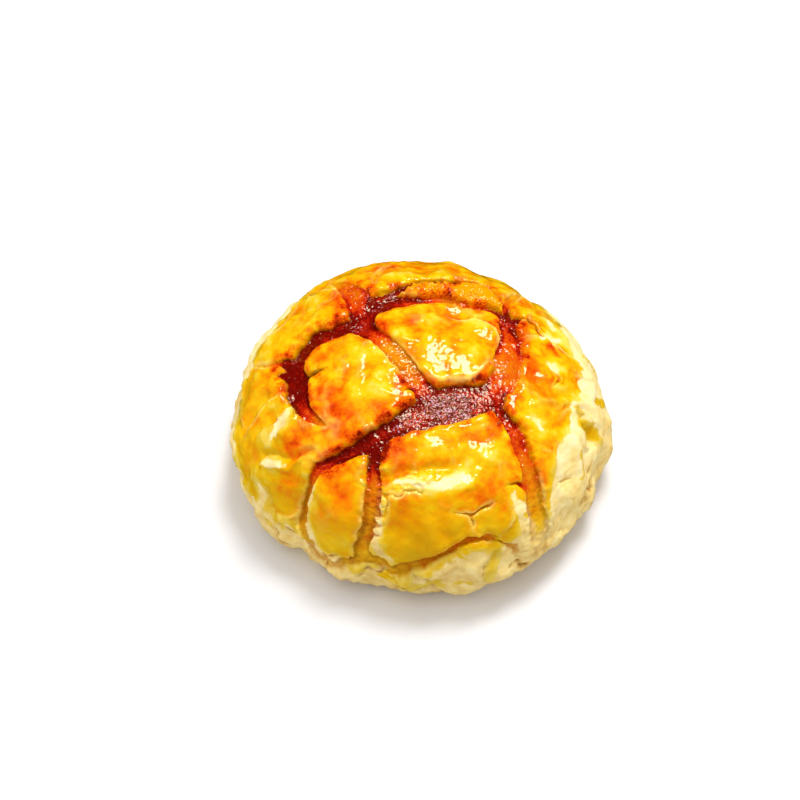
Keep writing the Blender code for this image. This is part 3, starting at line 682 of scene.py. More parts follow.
def places_on_map(bm):
    rays = np.array([vert.co for vert in bm.verts])
    ray_angle = np.arctan2(np.hypot(rays[:, 0], rays[:, 1]), rays[:, 2])
    skin = np.interp(ray_angle, [0, FOOT_RAY, math.pi], [0, FOOT_SKIN, PROFILE_SKIN[-1]])
    direction = np.arctan2(rays[:, 1], rays[:, 0])
    return skin * np.cos(direction), skin * np.sin(direction)


def split_near_edges(bm, reach, inner_reach, least_depth, with_lips):
    u, v = places_on_map(bm)
    field_u, field_v = strayed(u, v, on_dome(u, v, np.zeros_like(u)))
    outside, _, depth, _ = crack_field(field_u, field_v)
    near = (outside < reach) & (outside > -inner_reach) & (depth > least_depth)
    if with_lips:
        _, lip, foot = ledge_field(field_u, field_v)
        near |= np.maximum(lip, foot) > 0.25
    bm.verts.index_update()
    edges = [edge for edge in bm.edges if near[edge.verts[0].index] and near[edge.verts[1].index]]
    bmesh.ops.subdivide_edges(bm, edges=edges, cuts=1, use_grid_fill=True)
    bmesh.ops.triangulate(bm, faces=[face for face in bm.faces if len(face.verts) > 3])
    for vert in bm.verts:
        vert.co.normalize()


skin_bm = bmesh.new()
bmesh.ops.create_icosphere(skin_bm, subdivisions=SPHERE_SUBDIVISIONS, radius=1.0)
split_near_edges(skin_bm, 2.0 * MM, 8.0 * MM, 0.3 * MM, with_lips=True)
split_near_edges(skin_bm, 0.8 * MM, 0.8 * MM, 1.0 * MM, with_lips=False)
print("triangles before the foot is cut:", len(skin_bm.faces))

# %% [markdown]
# ## The shape of a plate's edge
#
# A height alone can only make a slope. The edge of a broken plate is steeper than upright: it hangs over
# the crack a little. So points near an edge are also pushed sideways, against the slope, which crowds them
# onto the wall. At the middle of a crack and on top of a plate the push fades to nothing.

# %% Every point's place in the field of cracks
SLOPE_STEP = 0.05 * MM

u, v = places_on_map(skin_bm)
from_top = np.hypot(u, v)
plain = on_dome(u, v, np.zeros_like(u))
field_u, field_v = strayed(u, v, plain)
outside, half_width, depth, darkness = crack_field(field_u, field_v)
share = depth / DEEPEST_CRACK
deep = smooth_step(share * 2)  # 1 for a crack of half the full depth or more
slope_u = crack_field(field_u + SLOPE_STEP, field_v)[0] - outside
slope_v = crack_field(field_u, field_v + SLOPE_STEP)[0] - outside
slope = np.maximum(np.hypot(slope_u, slope_v), 1e-9)
print(int((outside < 0).sum()), "of", len(outside), "points lie in a crack")

# %% Walls and crowns
WALL_HALF_WIDTH = 1.0 * MM
OVERHANG = 1.15
LEAN = 0.5  # how much less steep the edges that face the front are
WALL_FOOT = -0.3
PLATE_CROWN, CROWN_REACH = 0.7 * MM, 3.0 * MM
RIM_LIFT, RIM_MIDDLE, RIM_HALF_WIDTH = 0.3 * MM, 1.8 * MM, 0.8 * MM

leaning = smooth_step(slope_v / slope) * smooth_step(half_width / MM - 1.5)
wall = np.clip(half_width, 0.35 * MM, WALL_HALF_WIDTH * (1 + LEAN * leaning))
climb = np.clip(outside / wall, -1, 1)  # -1 on the floor, 1 on the plate
push = -wall * OVERHANG * (1 - LEAN * leaning) * np.sin(math.pi * climb) / math.pi * deep

rise_share = np.sin(math.pi / 2 * np.clip((climb - WALL_FOOT) / (1 - WALL_FOOT), 0, 1))
height = -depth * (1 - rise_share)
height -= PLATE_CROWN * share * np.exp(-np.maximum(outside, 0) / CROWN_REACH)
height += RIM_LIFT * share * bell((outside - RIM_MIDDLE) / RIM_HALF_WIDTH)
print("deepest floor, mm:", round(height.min() / MM, 2))

# %% Folds, dents and ledges on top of that
FOLD_REACH = 10 * MM
LEAST_FOLD_WIDTH = 0.4 * MM

for rise, route in FOLD_ROUTES:
    close = close_to(field_u, field_v, route, FOLD_REACH)
    beyond, held = nearest_on_route(field_u[close], field_v[close], route)
    fold_width = np.maximum(held[..., 0], LEAST_FOLD_WIDTH)
    height[close] += rise * bell((beyond + fold_width) / fold_width)
ledges, lip, ledge_foot = ledge_field(field_u, field_v)
height += ledges
print("height now from", round(height.min() / MM, 2), "to", round(height.max() / MM, 2), "mm")

# %% [markdown]
# ## Egg wash and bare dough
#
# The egg is brushed on in strokes and ends in a sharp, ragged edge. So the bare dough is a signed distance
# in millimetres, above zero where no egg is. The material adds a fine noise to it and cuts it near zero,
# and the edge comes out much finer than the mesh. The lists hold the patches that the brush missed, and
# then the dabs it left on them. Lower down, all that the brush reached ends at a line round the bun.

# %% Bare patches
# u, v and half width in millimetres
BARE_PATCHES = [
    [(47, -15, 2.8), (48.5, -27, 8), (49, -38, 8.5), (49, -50, 6.5)],
    [(29.8, -16.2, 0.4), (32.1, -16.6, 0.8), (34.2, -19, 0.6)],
    [
        (26.5, -38.8, 0.8), (29.6, -42.2, 1.7), (32.8, -46, 2.7), (34, -51, 3.4), (31, -58, 5),
        (20, -63, 5), (11, -66.5, 3.5)
    ],
    [
        (-6, -38.8, 0.4), (-2, -38.4, 0.8), (2, -39.4, 1), (6.2, -38.4, 1.3), (9.8, -36, 1.2),
        (12, -34.5, 0.5)
    ],
    [(19, -57.5, 2), (12.5, -61.5, 2.3), (6.5, -65.5, 1.6)],
    [
        (-10.6, -41.5, 0.8), (-10.6, -46, 1.2), (-12, -51, 1.4), (-13.2, -55.5, 1.4), (-12.2, -59.6, 1.2),
        (-9.2, -63, 0.9)
    ],
    [
        (-31.2, -38, 0.6), (-34.6, -41.7, 1.1), (-37, -45.7, 1.4), (-38.4, -50.7, 1.7), (-38, -56, 1.9),
        (-35.4, -61, 1.7), (-30, -63, 1.1)
    ],
    [(-36.4, -13.6, 1), (-38, -16.6, 2), (-39.6, -19.4, 1), (-42.2, -20.8, 0.4)],
    [(-45.5, -25.6, 0.4), (-42.8, -27.4, 0.9), (-40.2, -28.6, 0.7), (-38, -29.5, 0.3)],
    [(-50.3, -31.5, 0.7), (-52, -35, 1.5), (-54.5, -39, 1.6)],
    [(-45.6, -47.5, 1), (-46, -52, 2.2), (-44.5, -58, 2.6), (-38.5, -64.5, 2.6), (-31, -66.5, 2)],
    [(-19, -66.5, 1), (-16.5, -68.5, 1.4), (-12, -67, 0.8)],
    [(-1, -68.5, 0.8), (5, -67.5, 1.2), (11, -69, 2.5)],
    [(34.8, 12.2, 0.6), (38, 13.8, 0.9), (41, 13.6, 0.7)],
    [(36, 2.6, 0.7), (37.4, 1.2, 0.9), (38.2, 0.4, 0.5)],
    [(38.9, 22.4, 0.9), (40.3, 18.5, 1)],
]
print(len(BARE_PATCHES), "bare patches")

# %% Dabs of egg, and how far the egg reaches
# u, v and half width in millimetres
EGG_DABS = [
    [(24.6, -55, 1.8), (24.8, -58.8, 2.2), (24, -64.8, 1.7)],
    [(18.6, -46.8, 2.2), (24.5, -47, 2.6), (26.4, -49.8, 1.8)],
    [(31.4, -43.6, 0.5), (32.4, -44.6, 0.6)],
    [(-46.4, -44.5, 1), (-48.5, -47, 1.2)],
    [(-57, -42.5, 0.8), (-54.2, -44.8, 1.1)],
    [(9.6, -60.6, 0.9), (11, -60.8, 0.7)],
    [(5.5, -67.5, 0.9), (8, -68, 0.7)],
    [(54.5, -2, 1.4), (60, 1, 1.6)],
    [(50, 13, 0.7), (58, 14, 0.9)],
    [(48.4, -12.8, 1.2), (54.8, -12.2, 2.2), (59.5, -13, 2)],
    [(45.8, -9, 0.8), (48.8, -9.8, 1)],
    [(48.5, -22.5, 0.8), (53, -27, 0.8), (52, -30, 0.5)],
    [(13, -58.5, 1), (15, -59, 0.8)],
]
# Direction in degrees and how far the egg reaches down the skin there, in millimetres
EGG_REACH = [
    (-180, 60), (-165, 62), (-155, 66), (-135, 68), (-115, 71), (-95, 73), (-75, 72), (-60, 66),
    (-40, 56), (-20, 49), (-11, 44), (0, 47.5), (18, 46.5), (30, 50), (50, 52), (75, 53), (100, 54),
    (125, 52), (140, 52), (150, 49), (157, 48), (163, 51), (171, 53), (175, 58), (180, 61),
]
lowest_egg, highest_egg = max(reach for _, reach in EGG_REACH), min(reach for _, reach in EGG_REACH)
print(len(EGG_DABS), "dabs; the egg's edge is", highest_egg, "to", lowest_egg, "mm from the top")

# %% Signed distance to the egg's edge
patchy = noise_at(plain, 6 * MM, 91.0)
blotchy = noise_at(plain, 2.2 * MM, 97.0)
direction = np.degrees(np.arctan2(v, u))
reach = np.interp(direction, *zip(*EGG_REACH)) * MM
below_egg = from_top - reach + 2.5 * MM * patchy + 2.0 * MM * blotchy
stray_u, stray_v = u + 1.2 * MM * patchy, v + 1.0 * MM * blotchy
bare = np.maximum(below_egg, -outside_strokes(stray_u, stray_v, BARE_PATCHES))
bare = np.minimum(bare, outside_strokes(stray_u, stray_v, EGG_DABS))
bare = np.clip(bare / MM, -3, 3)
bare_share = smooth_step(0.5 + bare)
print("bare dough at", round(100 * bare_share.mean()), "% of the points")

# %% [markdown]
# ## Swells, wrinkles, flakes and crumbs
#
# Dough under a crust heaves in long swells. The crust itself wrinkles like leather, with narrow creases
# between soft bumps, which is what noise looks like when its sign is dropped. Turned over, the same noise
# gives thin raised lines, where the skin of egg has bunched up. Low down the dough breaks in flakes, and
# noise rounded to a few levels makes flat flakes with crisp edges. Torn dough is rough at the size of a
# crumb, and so is the fold of the front plate, which has flaked.

# %% Torn and flaky places
# u, v and half width in millimetres
TORN_STROKES = [
    [(-15.5, 24, 2.5), (-17.5, 28.5, 3.2), (-21, 33, 2)],
    [(-5, 27.8, 1.2), (3, 28, 2.2), (12, 28, 3), (19, 27, 3), (23.4, 24.5, 1.6)],
    [(25.6, 18, 1.2), (25.4, 26, 1)],
]
FLAKY_STROKES = [
    [(-11, -40.2, 0.8), (-7.5, -40.6, 1.2), (-3.4, -39.4, 1.1), (0.6, -38.6, 0.9), (4, -38, 0.5)],
    [(-10.8, -43, 0.7), (-11, -47, 0.9), (-12.4, -51.5, 0.7)],
]
print(len(TORN_STROKES), "torn strips and", len(FLAKY_STROKES), "flaky ones")

# %% Swells and creases
# Wavelength, then height on top and on the flank
SWELLS = [(17 * MM, 0.8 * MM, 1.6 * MM), (7 * MM, 0.7 * MM, 1.3 * MM)]
CREASES = [(6.5 * MM, 0.9 * MM, 1.2 * MM), (2.8 * MM, 0.28 * MM, 0.60 * MM)]

low = smooth_step((from_top - 0.45 * FOOT_SKIN) / (0.4 * FOOT_SKIN))
on_plate = 1 - smooth_step(-climb + 0.3) * deep
for number, (wavelength, on_top, on_flank) in enumerate(SWELLS):
    swell = noise_at(plain, wavelength, 20.0 + 7 * number)
    height += (on_top + (on_flank - on_top) * low) * swell
# The relief's height, kept for the painted shade in its creases and hollows
relief_shade = 0.5 * swell
smooth_top = 1 - 0.6 * np.exp(-((u - 8 * MM) ** 2 + (v + 1 * MM) ** 2) / (9 * MM) ** 2)
for number, (wavelength, on_top, on_flank) in enumerate(CREASES):
    crease = np.sqrt(noise_at(plain, wavelength, 40.0 + 7 * number) ** 2 + 0.01) - 0.25
    height += (on_top * smooth_top + (on_flank - on_top) * low) * crease * on_plate
    relief_shade += crease
print("height now from", round(height.min() / MM, 2), "to", round(height.max() / MM, 2), "mm")

# %% Raised lines, flakes and gaps
RIDGE_WAVELENGTH, RIDGE_HEIGHT = 10 * MM, 0.40 * MM
FLAKE_WAVELENGTH, FLAKE_LEVELS, FLAKE_HEIGHT = 7 * MM, 4.0, 0.8 * MM

bent = plain + 2.0 * MM * np.stack([noise_at(plain, 3 * MM, o) for o in (61.0, 63.0, 65.0)], axis=-1)
ridge_line = bell(noise_at(bent, RIDGE_WAVELENGTH, 67.0) / 0.05)
ridge_line *= smooth_step(2.5 * noise_at(plain, 11 * MM, 69.0) + 0.4) * on_plate * (1 - low)
height += RIDGE_HEIGHT * ridge_line

flake = FLAKE_LEVELS * noise_at(bent, FLAKE_WAVELENGTH, 75.0)
flake_part = flake - np.floor(flake)
height += FLAKE_HEIGHT * (np.floor(flake) + smooth_step(6 * flake_part)) / 2 * smooth_step(2 * low - 1)

gap_noise = noise_at(bent, 6 * MM, 81.0)
gap = bell(gap_noise / 0.11) * smooth_step(3 * noise_at(plain, 8 * MM, 83.0) + 0.3)
gap *= smooth_step(2.4 * low - 1.2) * on_plate
height += (1.0 * np.abs(gap_noise) * smooth_step(2 * low - 1) - 0.8 * gap) * MM
print("gaps at", int((gap > 0.5).sum()), "points")

# %% Crumbs, and the points moved into place
torn = smooth_step(0.8 - outside_strokes(field_u, field_v, TORN_STROKES) / MM)
flaky = smooth_step(0.8 - outside_strokes(field_u, field_v, FLAKY_STROKES) / MM)
wall_share = bell((climb - 0.1) / 0.6) * deep
floor_share = (1 - on_plate) * (1 - torn)
crumb = noise_at(plain, 1.1 * MM, 71.0) + 0.6 * noise_at(plain, 0.6 * MM, 73.0)
crumb_height = 0.60 * torn + 0.50 * flaky + 0.20 * wall_share + 0.25 * floor_share + 0.16 * bare_share
height += crumb_height * MM * crumb
height -= 0.15 * MM * bare_share * on_plate

above_foot = smooth_step((FOOT_SKIN + 2 * MM - from_top) / (6 * MM))
moved_u = u + push * above_foot * slope_u / slope
moved_v = v + push * above_foot * slope_v / slope
for vert, place in zip(skin_bm.verts, on_dome(moved_u, moved_v, height * above_foot)):
    vert.co = place
print("relief from", round(height.min() / MM, 2), "to", round(height.max() / MM, 2), "mm")

# %% [markdown]
# ## Baking and egg wash as numbers on the skin
#
# The oven browns a bun where it is high and thin, the brush leaves egg on the top and none low down, and
# syrup gathers in the cracks. Each of these is one number per point of the mesh, set here by soft spots on
# the same map, and the material turns the numbers into colour. Painted shade goes into the same numbers:
# darker in creases, hollows and gaps and at the foot of walls that face the front. That keeps the picture
# of the bun in a few named spots.

# %% Spots of browning, shade and sugar grains
# u, v and radius in millimetres, then how much
BROWNED = [
    (-28, -9, 4.5, 0.3), (-26, 3, 3.5, 0.25), (-4, -9, 3, 0.25), (-2, -15, 2.2, 0.25), (-9, -20, 3, 0.15),
    (-17, -24, 3.5, 0.15), (-22, -12, 5, 0.12), (-33, 11, 4, 0.2), (-22, 15, 3, 0.2), (-19, 20, 3, 0.2),
    (-39, -5, 3, 0.18), (-33, -22, 4, 0.28), (-40, -17, 3, 0.12), (-22, -34, 4.5, 0.22),
    (-26, -45, 6, 0.2), (-5, -31, 5, 0.16), (4, -30, 4, 0.14), (-9, -30, 3, 0.25), (19, -20, 3.5, 0.18),
    (20, -38, 3.5, 0.32), (-5, -45, 4.5, 0.22), (27, 3, 3, 0.45), (37.3, 8.6, 1.8, 0.4),
    (29, -3, 4, 0.22), (24, -13, 3, 0.25), (33, -30, 3, 0.2), (34, -39, 4, 0.25), (22, 13, 3, 0.15),
    (-9, 12, 2.2, 0.18), (14, -9, 3.5, 0.12), (8, 28, 4, 0.1), (18, 27, 4, 0.12), (0, 26, 4, 0.15),
    (20, 38, 6, -0.12), (19, -47, 4, -0.12), (26, -50, 4, -0.08), (25, -60, 6, -0.1), (-2, 12, 5, 0.16),
    (6, 13, 5, 0.1), (-8, 9, 3, 0.14), (11, 4, 8, 0.05), (-20.7, -20.5, 2.5, 0.15),
    (-29.2, -24.4, 2.5, -0.12), (-8, 41, 5, 0.3), (-17, 27, 5.5, 0.25), (7, 25, 0.9, 0.35),
    (8.6, 25, 1, 0.4), (10.2, 24.6, 0.9, 0.35), (17.6, 24.2, 0.9, 0.35), (19.4, 23.8, 1, 0.35),
    (0.6, -54, 6, 0.05), (9, -50, 5, 0.02), (-2.4, -6.9, 1, 0.35), (-4.1, -15.4, 1.6, 0.3),
    (-22, -19, 5, 0.3), (-14, 25, 3, 0.2), (-20, -8, 4.5, 0.12), (-29, -8, 2.5, -0.1),
    (-25.5, 20, 4, 0.14), (-40, -35, 3.5, 0.12), (-42, -43.5, 3, 0.12), (2, -70, 8, -0.15),
    (-14, -69, 6, 0.05), (-25, -56.5, 3.5, -0.14), (29, 14, 3, 0.3), (18, 9.5, 1.8, 0.2),
]
GRAINS = [
    (6, -16, 7, 1), (12, -14, 5, 0.9), (-4, -21, 4, 0.7), (-12, 21, 3, 0.6), (-16, 13, 2.5, 0.6),
    (21, -8, 5, 0.32), (23, -1, 4, 0.22), (-8, 4, 4, 0.15), (-33, -2, 3, 0.15), (-8, 26, 2.5, 0.8),
    (1, 23.5, 4, 0.3), (16, 22.5, 3, 0.25), (27, 16, 2, 0.4),
]
# Painted shade in hollows at the front and on the right, and on two corners of bare dough on the left
SHADED = [
    (0, -57, 6, 0.5), (-2, -69, 4, 0.3), (10, -50, 4.5, 0.25), (20, -47, 3.5, 0.35), (27, -50, 3, 0.35),
    (24, -57, 3, 0.3), (47.3, -9.4, 2, 0.3), (54, -13, 2.6, 0.4), (59.3, -13, 2.4, 0.3),
    (-38.4, -17, 4, 0.32), (-42, -28, 4, 0.3),
]


def spots(u, v, listed):
    total = np.zeros_like(u)
    for spot_u, spot_v, radius, amount in listed:
        total += amount * np.exp(-((u - spot_u * MM) ** 2 + (v - spot_v * MM) ** 2) / (radius * MM) ** 2)
    return total


print(len(BROWNED), "spots of browning,", len(GRAINS), "of sugar grains and", len(SHADED), "of shade")

# %% How much each point is baked
# The browning is less blotchy low down and at the front
calm = 1 - 0.65 * np.maximum(low, smooth_step((-v / MM - 38) / 12))
edge_bake = 0.22 * darkness * (1 + 1.5 * blotchy) * bell((outside - 1.0 * MM) / (0.9 * MM))
bake = 0.40 + (0.18 * patchy + 0.10 * blotchy) * calm + spots(field_u, field_v, BROWNED) + edge_bake
# Painted shade: darker in the creases and hollows of the relief, lighter on its bumps; darker also at the
# foot of each ledge
bake += 0.15 * ledge_foot * calm - 0.35 * relief_shade * on_plate * calm
bake -= 0.10 * smooth_step((from_top - 45 * MM) / (20 * MM))
# Towards its edge the egg gets thin and pale
bake -= 0.20 * smooth_step(1 + (bare + 0.6 * blotchy) / 2.6)
print("bake from", round(bake.min(), 2), "to", round(bake.max(), 2))

# %% Pale rims of the plates
pale_rim = bell((outside - 0.35 * MM) / (0.45 * MM)) * smooth_step((0.42 - darkness) * 6)
pale_rim *= smooth_step(share * 3) * smooth_step(0.9 + 1.5 * blotchy)
# On the raised lines the pale is partly thin egg and partly a painted highlight
pale = np.clip(np.maximum(np.maximum(lip, 0.3 * ridge_line), pale_rim), 0, 1) * (1 - torn)
print("pale at", int((pale > 0.5).sum()), "points")

# %% Syrup in the cracks and splashed beside them
in_crack = smooth_step((0.05 + 0.25 * leaning - climb + 0.30 * blotchy) / 0.6)
in_crack *= smooth_step(share * 2.2) * smooth_step(0.15 + 3.5 * darkness)
splashed = darkness * deep * bell(np.maximum(outside, 0) / (2.6 * MM)) * on_plate
# The dark line where a wall meets the floor, strongest where the wall faces the front, away from the key
# lamp: partly syrup, partly painted shade
faces_front = np.clip(0.65 + 0.35 * slope_v / slope, 0, 1)
foot_width = (0.55 + 0.30 * leaning) * MM
from_wall_foot = outside + (0.9 - 0.2 * leaning) * wall
wall_foot = bell(from_wall_foot / foot_width) * faces_front * deep
syrup_and_shade_line = wall_foot * smooth_step(darkness * 2 - 0.5)
dark = np.clip(darkness + 0.10 * patchy + 0.12 * blotchy + 0.50 * syrup_and_shade_line, 0, 1)
# Painted shade at the foot of front-facing walls of pale cracks, and the painted shade spots listed above
shade = wall_foot * smooth_step((0.45 - darkness) * 6) * smooth_step(half_width / MM - 0.7)
shade = np.maximum(shade, spots(u, v, SHADED))
grains = np.clip(spots(u, v, GRAINS), 0, 1) * in_crack * (1 - 0.9 * wall_foot)
print("syrup at", int((in_crack > 0.5).sum()), "points")

# %% [markdown]
# ## Cutting the foot
#
# A bun is baked on a tray and has a flat foot. The mesh is cut by a plane and the hole is filled with one
# flat face. The numbers go on the points first, because the cut makes new points along its edge, and
# Blender works out their numbers from their neighbours. The mesh is then set on the table, to the solid's
# own box.

# %% Put the numbers on the points
numbers = {
    "bake": bake, "bare": bare, "in_crack": in_crack, "dark": dark, "grains": grains, "pale": pale,
    "torn": torn, "calm": calm, "splashed": splashed, "gap": gap, "shade": shade,
    "map_u": u / MM, "map_v": v / MM,
}
for name, values in numbers.items():
    layer = skin_bm.verts.layers.float.new(name)
    for vert, value in zip(skin_bm.verts, values.tolist()):
        vert[layer] = value
print(len(numbers), "numbers on each of", len(skin_bm.verts), "points")

# %% Cut the foot and fit the solid's box
everything = skin_bm.verts[:] + skin_bm.edges[:] + skin_bm.faces[:]
bmesh.ops.bisect_plane(
    skin_bm, geom=everything, dist=0.02 * MM, clear_outer=True,
    plane_co=(0, 0, FOOT_TRIM), plane_no=(0, 0, -1)
)
foot_edge = [edge for edge in skin_bm.edges if edge.is_boundary]
foot = bmesh.ops.contextual_create(skin_bm, geom=foot_edge)["faces"]
bmesh.ops.recalc_face_normals(skin_bm, faces=skin_bm.faces[:])
corners = np.array([vert.co for vert in skin_bm.verts])
low_corner, high_corner = corners.min(axis=0), corners.max(axis=0)
wanted_low, wanted_high = (np.array(corner) for corner in solid_box)
ratio = (wanted_high - wanted_low) / (high_corner - low_corner)
bmesh.ops.translate(skin_bm, verts=skin_bm.verts[:], vec=Vector(-low_corner))
bmesh.ops.scale(skin_bm, verts=skin_bm.verts[:], vec=Vector(ratio))
bmesh.ops.translate(skin_bm, verts=skin_bm.verts[:], vec=Vector(wanted_low))
print("scaled to the solid's box by", [round(r, 4) for r in ratio])

# %% [markdown]
# ## A map for the baked colours
#
# The crust map is a good UV map as it is: one disc, no seam on top, and little stretch. The foot gets a
# small disc of its own in the corner.

# %% UV map
TOP_DISC, FOOT_DISC = 0.38, 0.19  # radius in the unit square
TOP_MIDDLE, FOOT_MIDDLE = 0.01 + TOP_DISC, 0.99 - FOOT_DISC
TOP_SCALE, FOOT_SCALE = TOP_DISC / (FOOT_SKIN / MM), FOOT_DISC / (MEAN_RADIUS * 0.95)


def on_disc(middle, scale, across, along):
    return middle + across * scale, middle + along * scale


uv_layer = skin_bm.loops.layers.uv.new("OFBake")
layer_u, layer_v = skin_bm.verts.layers.float["map_u"], skin_bm.verts.layers.float["map_v"]
foot_faces = set(foot)
for face in skin_bm.faces:
    for loop in face.loops:
        vert = loop.vert
        if face in foot_faces:
            loop[uv_layer].uv = on_disc(FOOT_MIDDLE, FOOT_SCALE, vert.co.x, vert.co.y)
        else:
            loop[uv_layer].uv = on_disc(TOP_MIDDLE, TOP_SCALE, vert[layer_u], vert[layer_v])
print("UV map on", len(skin_bm.faces), "faces")

# %% The finished mesh
bmesh.ops.triangulate(skin_bm, faces=foot)
skin_mesh = bpy.data.meshes.new("bun_skin")
skin_bm.to_mesh(skin_mesh)
skin_bm.free()
skin_mesh.shade_smooth()
skin_mesh.set_sharp_from_angle(angle=math.radians(80))
bun_skin = bpy.data.objects.new("bun_skin", skin_mesh)
bpy.context.scene.collection.objects.link(bun_skin)
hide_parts("bun")
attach(bun_skin, "root")
print("triangles in the skin:", len(skin_mesh.polygons))

# %% [markdown]
# ## The crust's material
#
# Browning is one scale, from pale gold over orange to a burnt red brown, so one colour ramp holds it and
# the bake number picks the colour. Bare dough and syrup have a ramp each and are mixed in where their
# numbers say. Every number gets some fine noise before it picks a colour, because the mesh is too coarse
# for the mottling of a real crust.


# %% Helpers for the node tree
def srgb(red, green, blue):
    """A screen colour, 0 to 255, as the linear colour that shaders use."""
    parts = [c / 255 for c in (red, green, blue)]
    return (*(c / 12.92 if c <= 0.04045 else ((c + 0.055) / 1.055) ** 2.4 for c in parts), 1.0)


class Tree:
    """Adds nodes to a material and links them as they are made."""

    def __init__(self, tree):
        self.tree = tree

    def add(self, kind, settings=(), **inputs):
        node = self.tree.nodes.new(kind)
        for key, value in dict(settings).items():
            setattr(node, key, value)
        for key, value in inputs.items():
            socket = node.inputs[int(key[1:])] if key[0] == "_" else node.inputs[key.replace("_", " ")]
            if isinstance(value, bpy.types.NodeSocket):
                self.tree.links.new(value, socket)
            else:
                socket.default_value = value
        return node

    def number(self, name):
        return self.add("ShaderNodeAttribute", {"attribute_name": name}).outputs["Fac"]

    def math(self, operation, a, b=0.0, clamp=False):
        node = self.add("ShaderNodeMath", {"operation": operation, "use_clamp": clamp}, _0=a, _1=b)
        return node.outputs[0]

    def plus(self, base, value, amount):
        """base + value * amount"""
        return self.math("ADD", base, self.math("MULTIPLY", value, amount))

    def noise(self, place, scale, detail, roughness=0.5):
        node = self.add("ShaderNodeTexNoise", Vector=place, Scale=scale, Detail=detail, Roughness=roughness)
        return node.outputs["Fac"]

    def mix(self, amount, a, b):
        return self.add("ShaderNodeMix", {"data_type": "RGBA"}, _0=amount, _6=a, _7=b).outputs[2]

    def between(self, value, low, high):
        """0 below low, 1 above high, and a smooth step between them"""
        settings = {"interpolation_type": "SMOOTHSTEP"}
        return self.add("ShaderNodeMapRange", settings, Value=value, From_Min=low, From_Max=high).outputs[0]

    def ramp(self, value, stops):
        node = self.add("ShaderNodeValToRGB", Fac=value)
        elements = node.color_ramp.elements
        while len(elements) < len(stops):
            elements.new(0.5)
        for element, (position, colour) in zip(elements, stops):
            element.position = position
            element.color = colour
        return node.outputs["Color"]


print("the pale gold of thin egg as a linear colour:", [round(c, 3) for c in srgb(238, 206, 84)])

# %% Noises on the crust
crust = bpy.data.materials.new("baked_crust")
crust.use_nodes = True
t = Tree(crust.node_tree)
shader = crust.node_tree.nodes["Principled BSDF"]
place = t.add("ShaderNodeTexCoord").outputs["Object"]
fine = t.noise(place, 900.0, 3.0)
finest = t.noise(place, 1700.0, 2.0)
mottle = t.noise(place, 240.0, 5.0, 0.65)


def spread(value, amount):
    """A noise, which is 0.5 on average, as a number about zero."""
    return t.math("MULTIPLY", t.math("SUBTRACT", value, 0.5), amount)


print("nodes for the noises:", len(crust.node_tree.nodes))

# %% Colour of the plates
mottling = t.math("ADD", spread(mottle, 0.62), spread(fine, 0.30))
bake_here = t.plus(t.number("bake"), mottling, t.number("calm"))
bake_here = t.plus(bake_here, spread(finest, 0.9), t.number("splashed"))
torn_bake = t.math("MAXIMUM", t.math("ADD", bake_here, spread(finest, 0.8)), 0.48)
bake_here = t.plus(bake_here, t.number("torn"), t.math("SUBTRACT", torn_bake, bake_here))
plate_colour = t.ramp(bake_here, [
    (0.05, srgb(238, 206, 84)), (0.25, srgb(236, 188, 12)), (0.42, srgb(236, 166, 0)),
    (0.55, srgb(238, 138, 0)), (0.70, srgb(234, 104, 0)), (0.85, srgb(206, 58, 0)), (1.00, srgb(124, 16, 0)),
])
plate_colour = t.mix(t.math("MULTIPLY", t.number("pale"), 0.65), plate_colour, srgb(250, 224, 112))
print("nodes with the plates' colour:", len(crust.node_tree.nodes))

# %% Bare dough
dough_tone = t.math("SUBTRACT", t.plus(mottle, t.number("calm"), 0.30), 0.16)
# Painted shade: the dough is darker in the gaps between its flakes
dough_tone = t.plus(dough_tone, t.number("gap"), -0.45)
dough_colour = t.ramp(dough_tone, [
    (0.05, srgb(180, 124, 32)), (0.30, srgb(234, 192, 100)), (0.50, srgb(250, 220, 136)),
    (0.75, srgb(255, 236, 176)),
])
bare_here = t.math("ADD", t.number("bare"), t.math("ADD", spread(fine, 1.8), spread(mottle, 1.6)))
bare_here = t.between(bare_here, -0.4, 0.38)
coloured = t.mix(bare_here, plate_colour, dough_colour)
print("nodes with the bare dough:", len(crust.node_tree.nodes))

# %% Syrup and painted shade
dark_mottling = t.math("ADD", spread(mottle, 0.8), spread(finest, 0.9))
dark_here = t.plus(t.number("dark"), dark_mottling, t.number("dark"))
syrup_colour = t.ramp(dark_here, [
    (0.10, srgb(230, 170, 22)), (0.25, srgb(216, 130, 3)), (0.40, srgb(210, 98, 3)),
    (0.54, srgb(206, 62, 4)), (0.70, srgb(172, 22, 3)), (0.92, srgb(106, 4, 1)),
])
coloured = t.mix(t.number("in_crack"), coloured, syrup_colour)
# Painted shade: the shade number darkens egg and dough towards olive brown
coloured = t.mix(t.math("MULTIPLY", t.number("shade"), 0.6), coloured, srgb(132, 84, 6))
print("nodes with the syrup and shade:", len(crust.node_tree.nodes))

# %% [markdown]
# ## Sugar grains
#
# In the widest cracks the syrup has set into grains, too small to model one by one. A Voronoi texture gives
# each little cell a random colour of its own. One of its channels picks which cells are grains, another
# picks the grain's colour, from dark red to a pale pink that is partly a painted glint.

# %% Sugar grains
GRAINS_PER_METRE = 2410.0

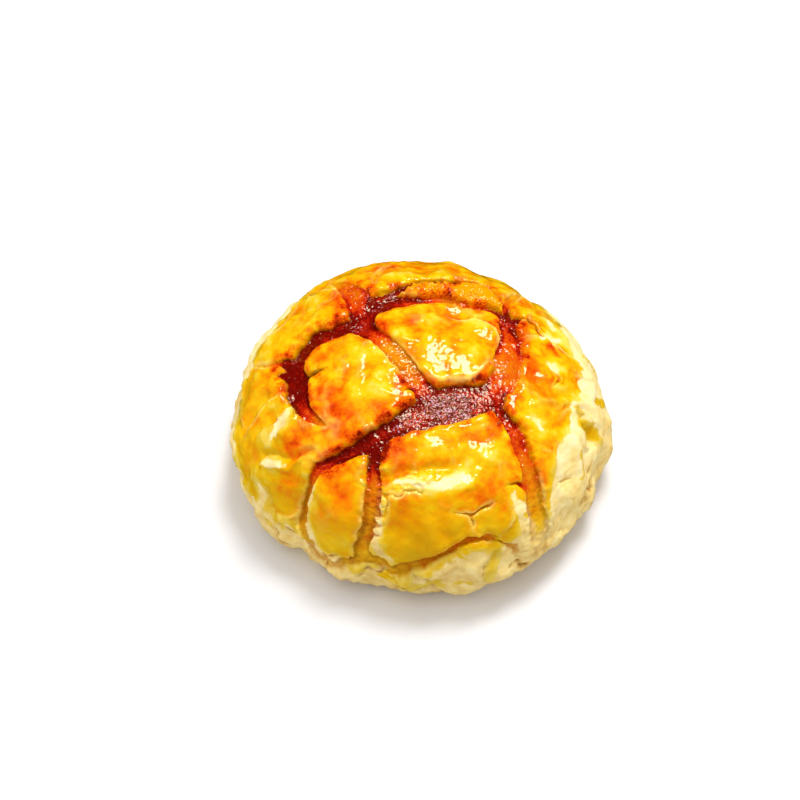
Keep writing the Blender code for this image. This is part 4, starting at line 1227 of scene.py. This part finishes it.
cells = t.add("ShaderNodeTexVoronoi", Vector=place, Scale=GRAINS_PER_METRE).outputs["Color"]
cells = t.add("ShaderNodeSeparateColor", Color=cells).outputs
# The pale pink grains are partly painted glints
grain_and_glint_colour = t.ramp(cells[1], [
    (0.00, srgb(84, 6, 2)), (0.42, srgb(100, 14, 8)), (0.52, srgb(134, 44, 30)), (0.66, srgb(150, 70, 62)),
    (0.76, srgb(176, 118, 130)), (0.86, srgb(196, 150, 170)), (0.94, srgb(150, 66, 4)),
])
is_grain = t.between(t.plus(cells[0], t.number("grains"), 1.1), 1.15, 1.30)
coloured = t.mix(is_grain, coloured, grain_and_glint_colour)
t.tree.links.new(coloured, shader.inputs["Base Color"])
print("grains of about", round(1 / MM / GRAINS_PER_METRE, 1), "mm")

# %% [markdown]
# ## Shine and fine bumps
#
# Egg wash dries to a shiny skin, and bare dough stays matte. The roughness follows the same numbers as the
# colour. Wrinkles finer than the mesh come from the Bump node, and they break the lamp's reflection into
# the small bright flecks that make the crust look glazed. The shine is tinted a little, as syrup tints it.

# %% Shine and bumps
rough = t.math("ADD", t.math("MULTIPLY", bare_here, 0.40), 0.08)
rough = t.plus(rough, t.number("grains"), 0.10)
rough = t.math("ADD", rough, t.math("MULTIPLY", fine, 0.12), clamp=True)
t.tree.links.new(rough, shader.inputs["Roughness"])
wrinkle = t.math("MULTIPLY", t.noise(place, 420.0, 1.0), 0.26)
wrinkle = t.plus(wrinkle, t.noise(place, 1000.0, 0.0), 0.07)
grit = 0.0
for name, height_share in (("in_crack", 0.10), ("torn", 0.30), ("grains", 0.20)):
    grit = t.math("MAXIMUM", grit, t.math("MULTIPLY", t.number(name), height_share))
bumps = t.plus(wrinkle, grit, t.noise(place, 2000.0, 0.0))
bump = t.add("ShaderNodeBump", Height=bumps, Strength=1.0, Distance=1.0 * MM)
t.tree.links.new(bump.outputs["Normal"], shader.inputs["Normal"])
shader.inputs["Specular IOR Level"].default_value = 0.60
shader.inputs["Specular Tint"].default_value = (1.0, 0.92, 0.66, 1.0)
skin_mesh.materials.append(crust)
print("the crust's material has", len(crust.node_tree.nodes), "nodes")
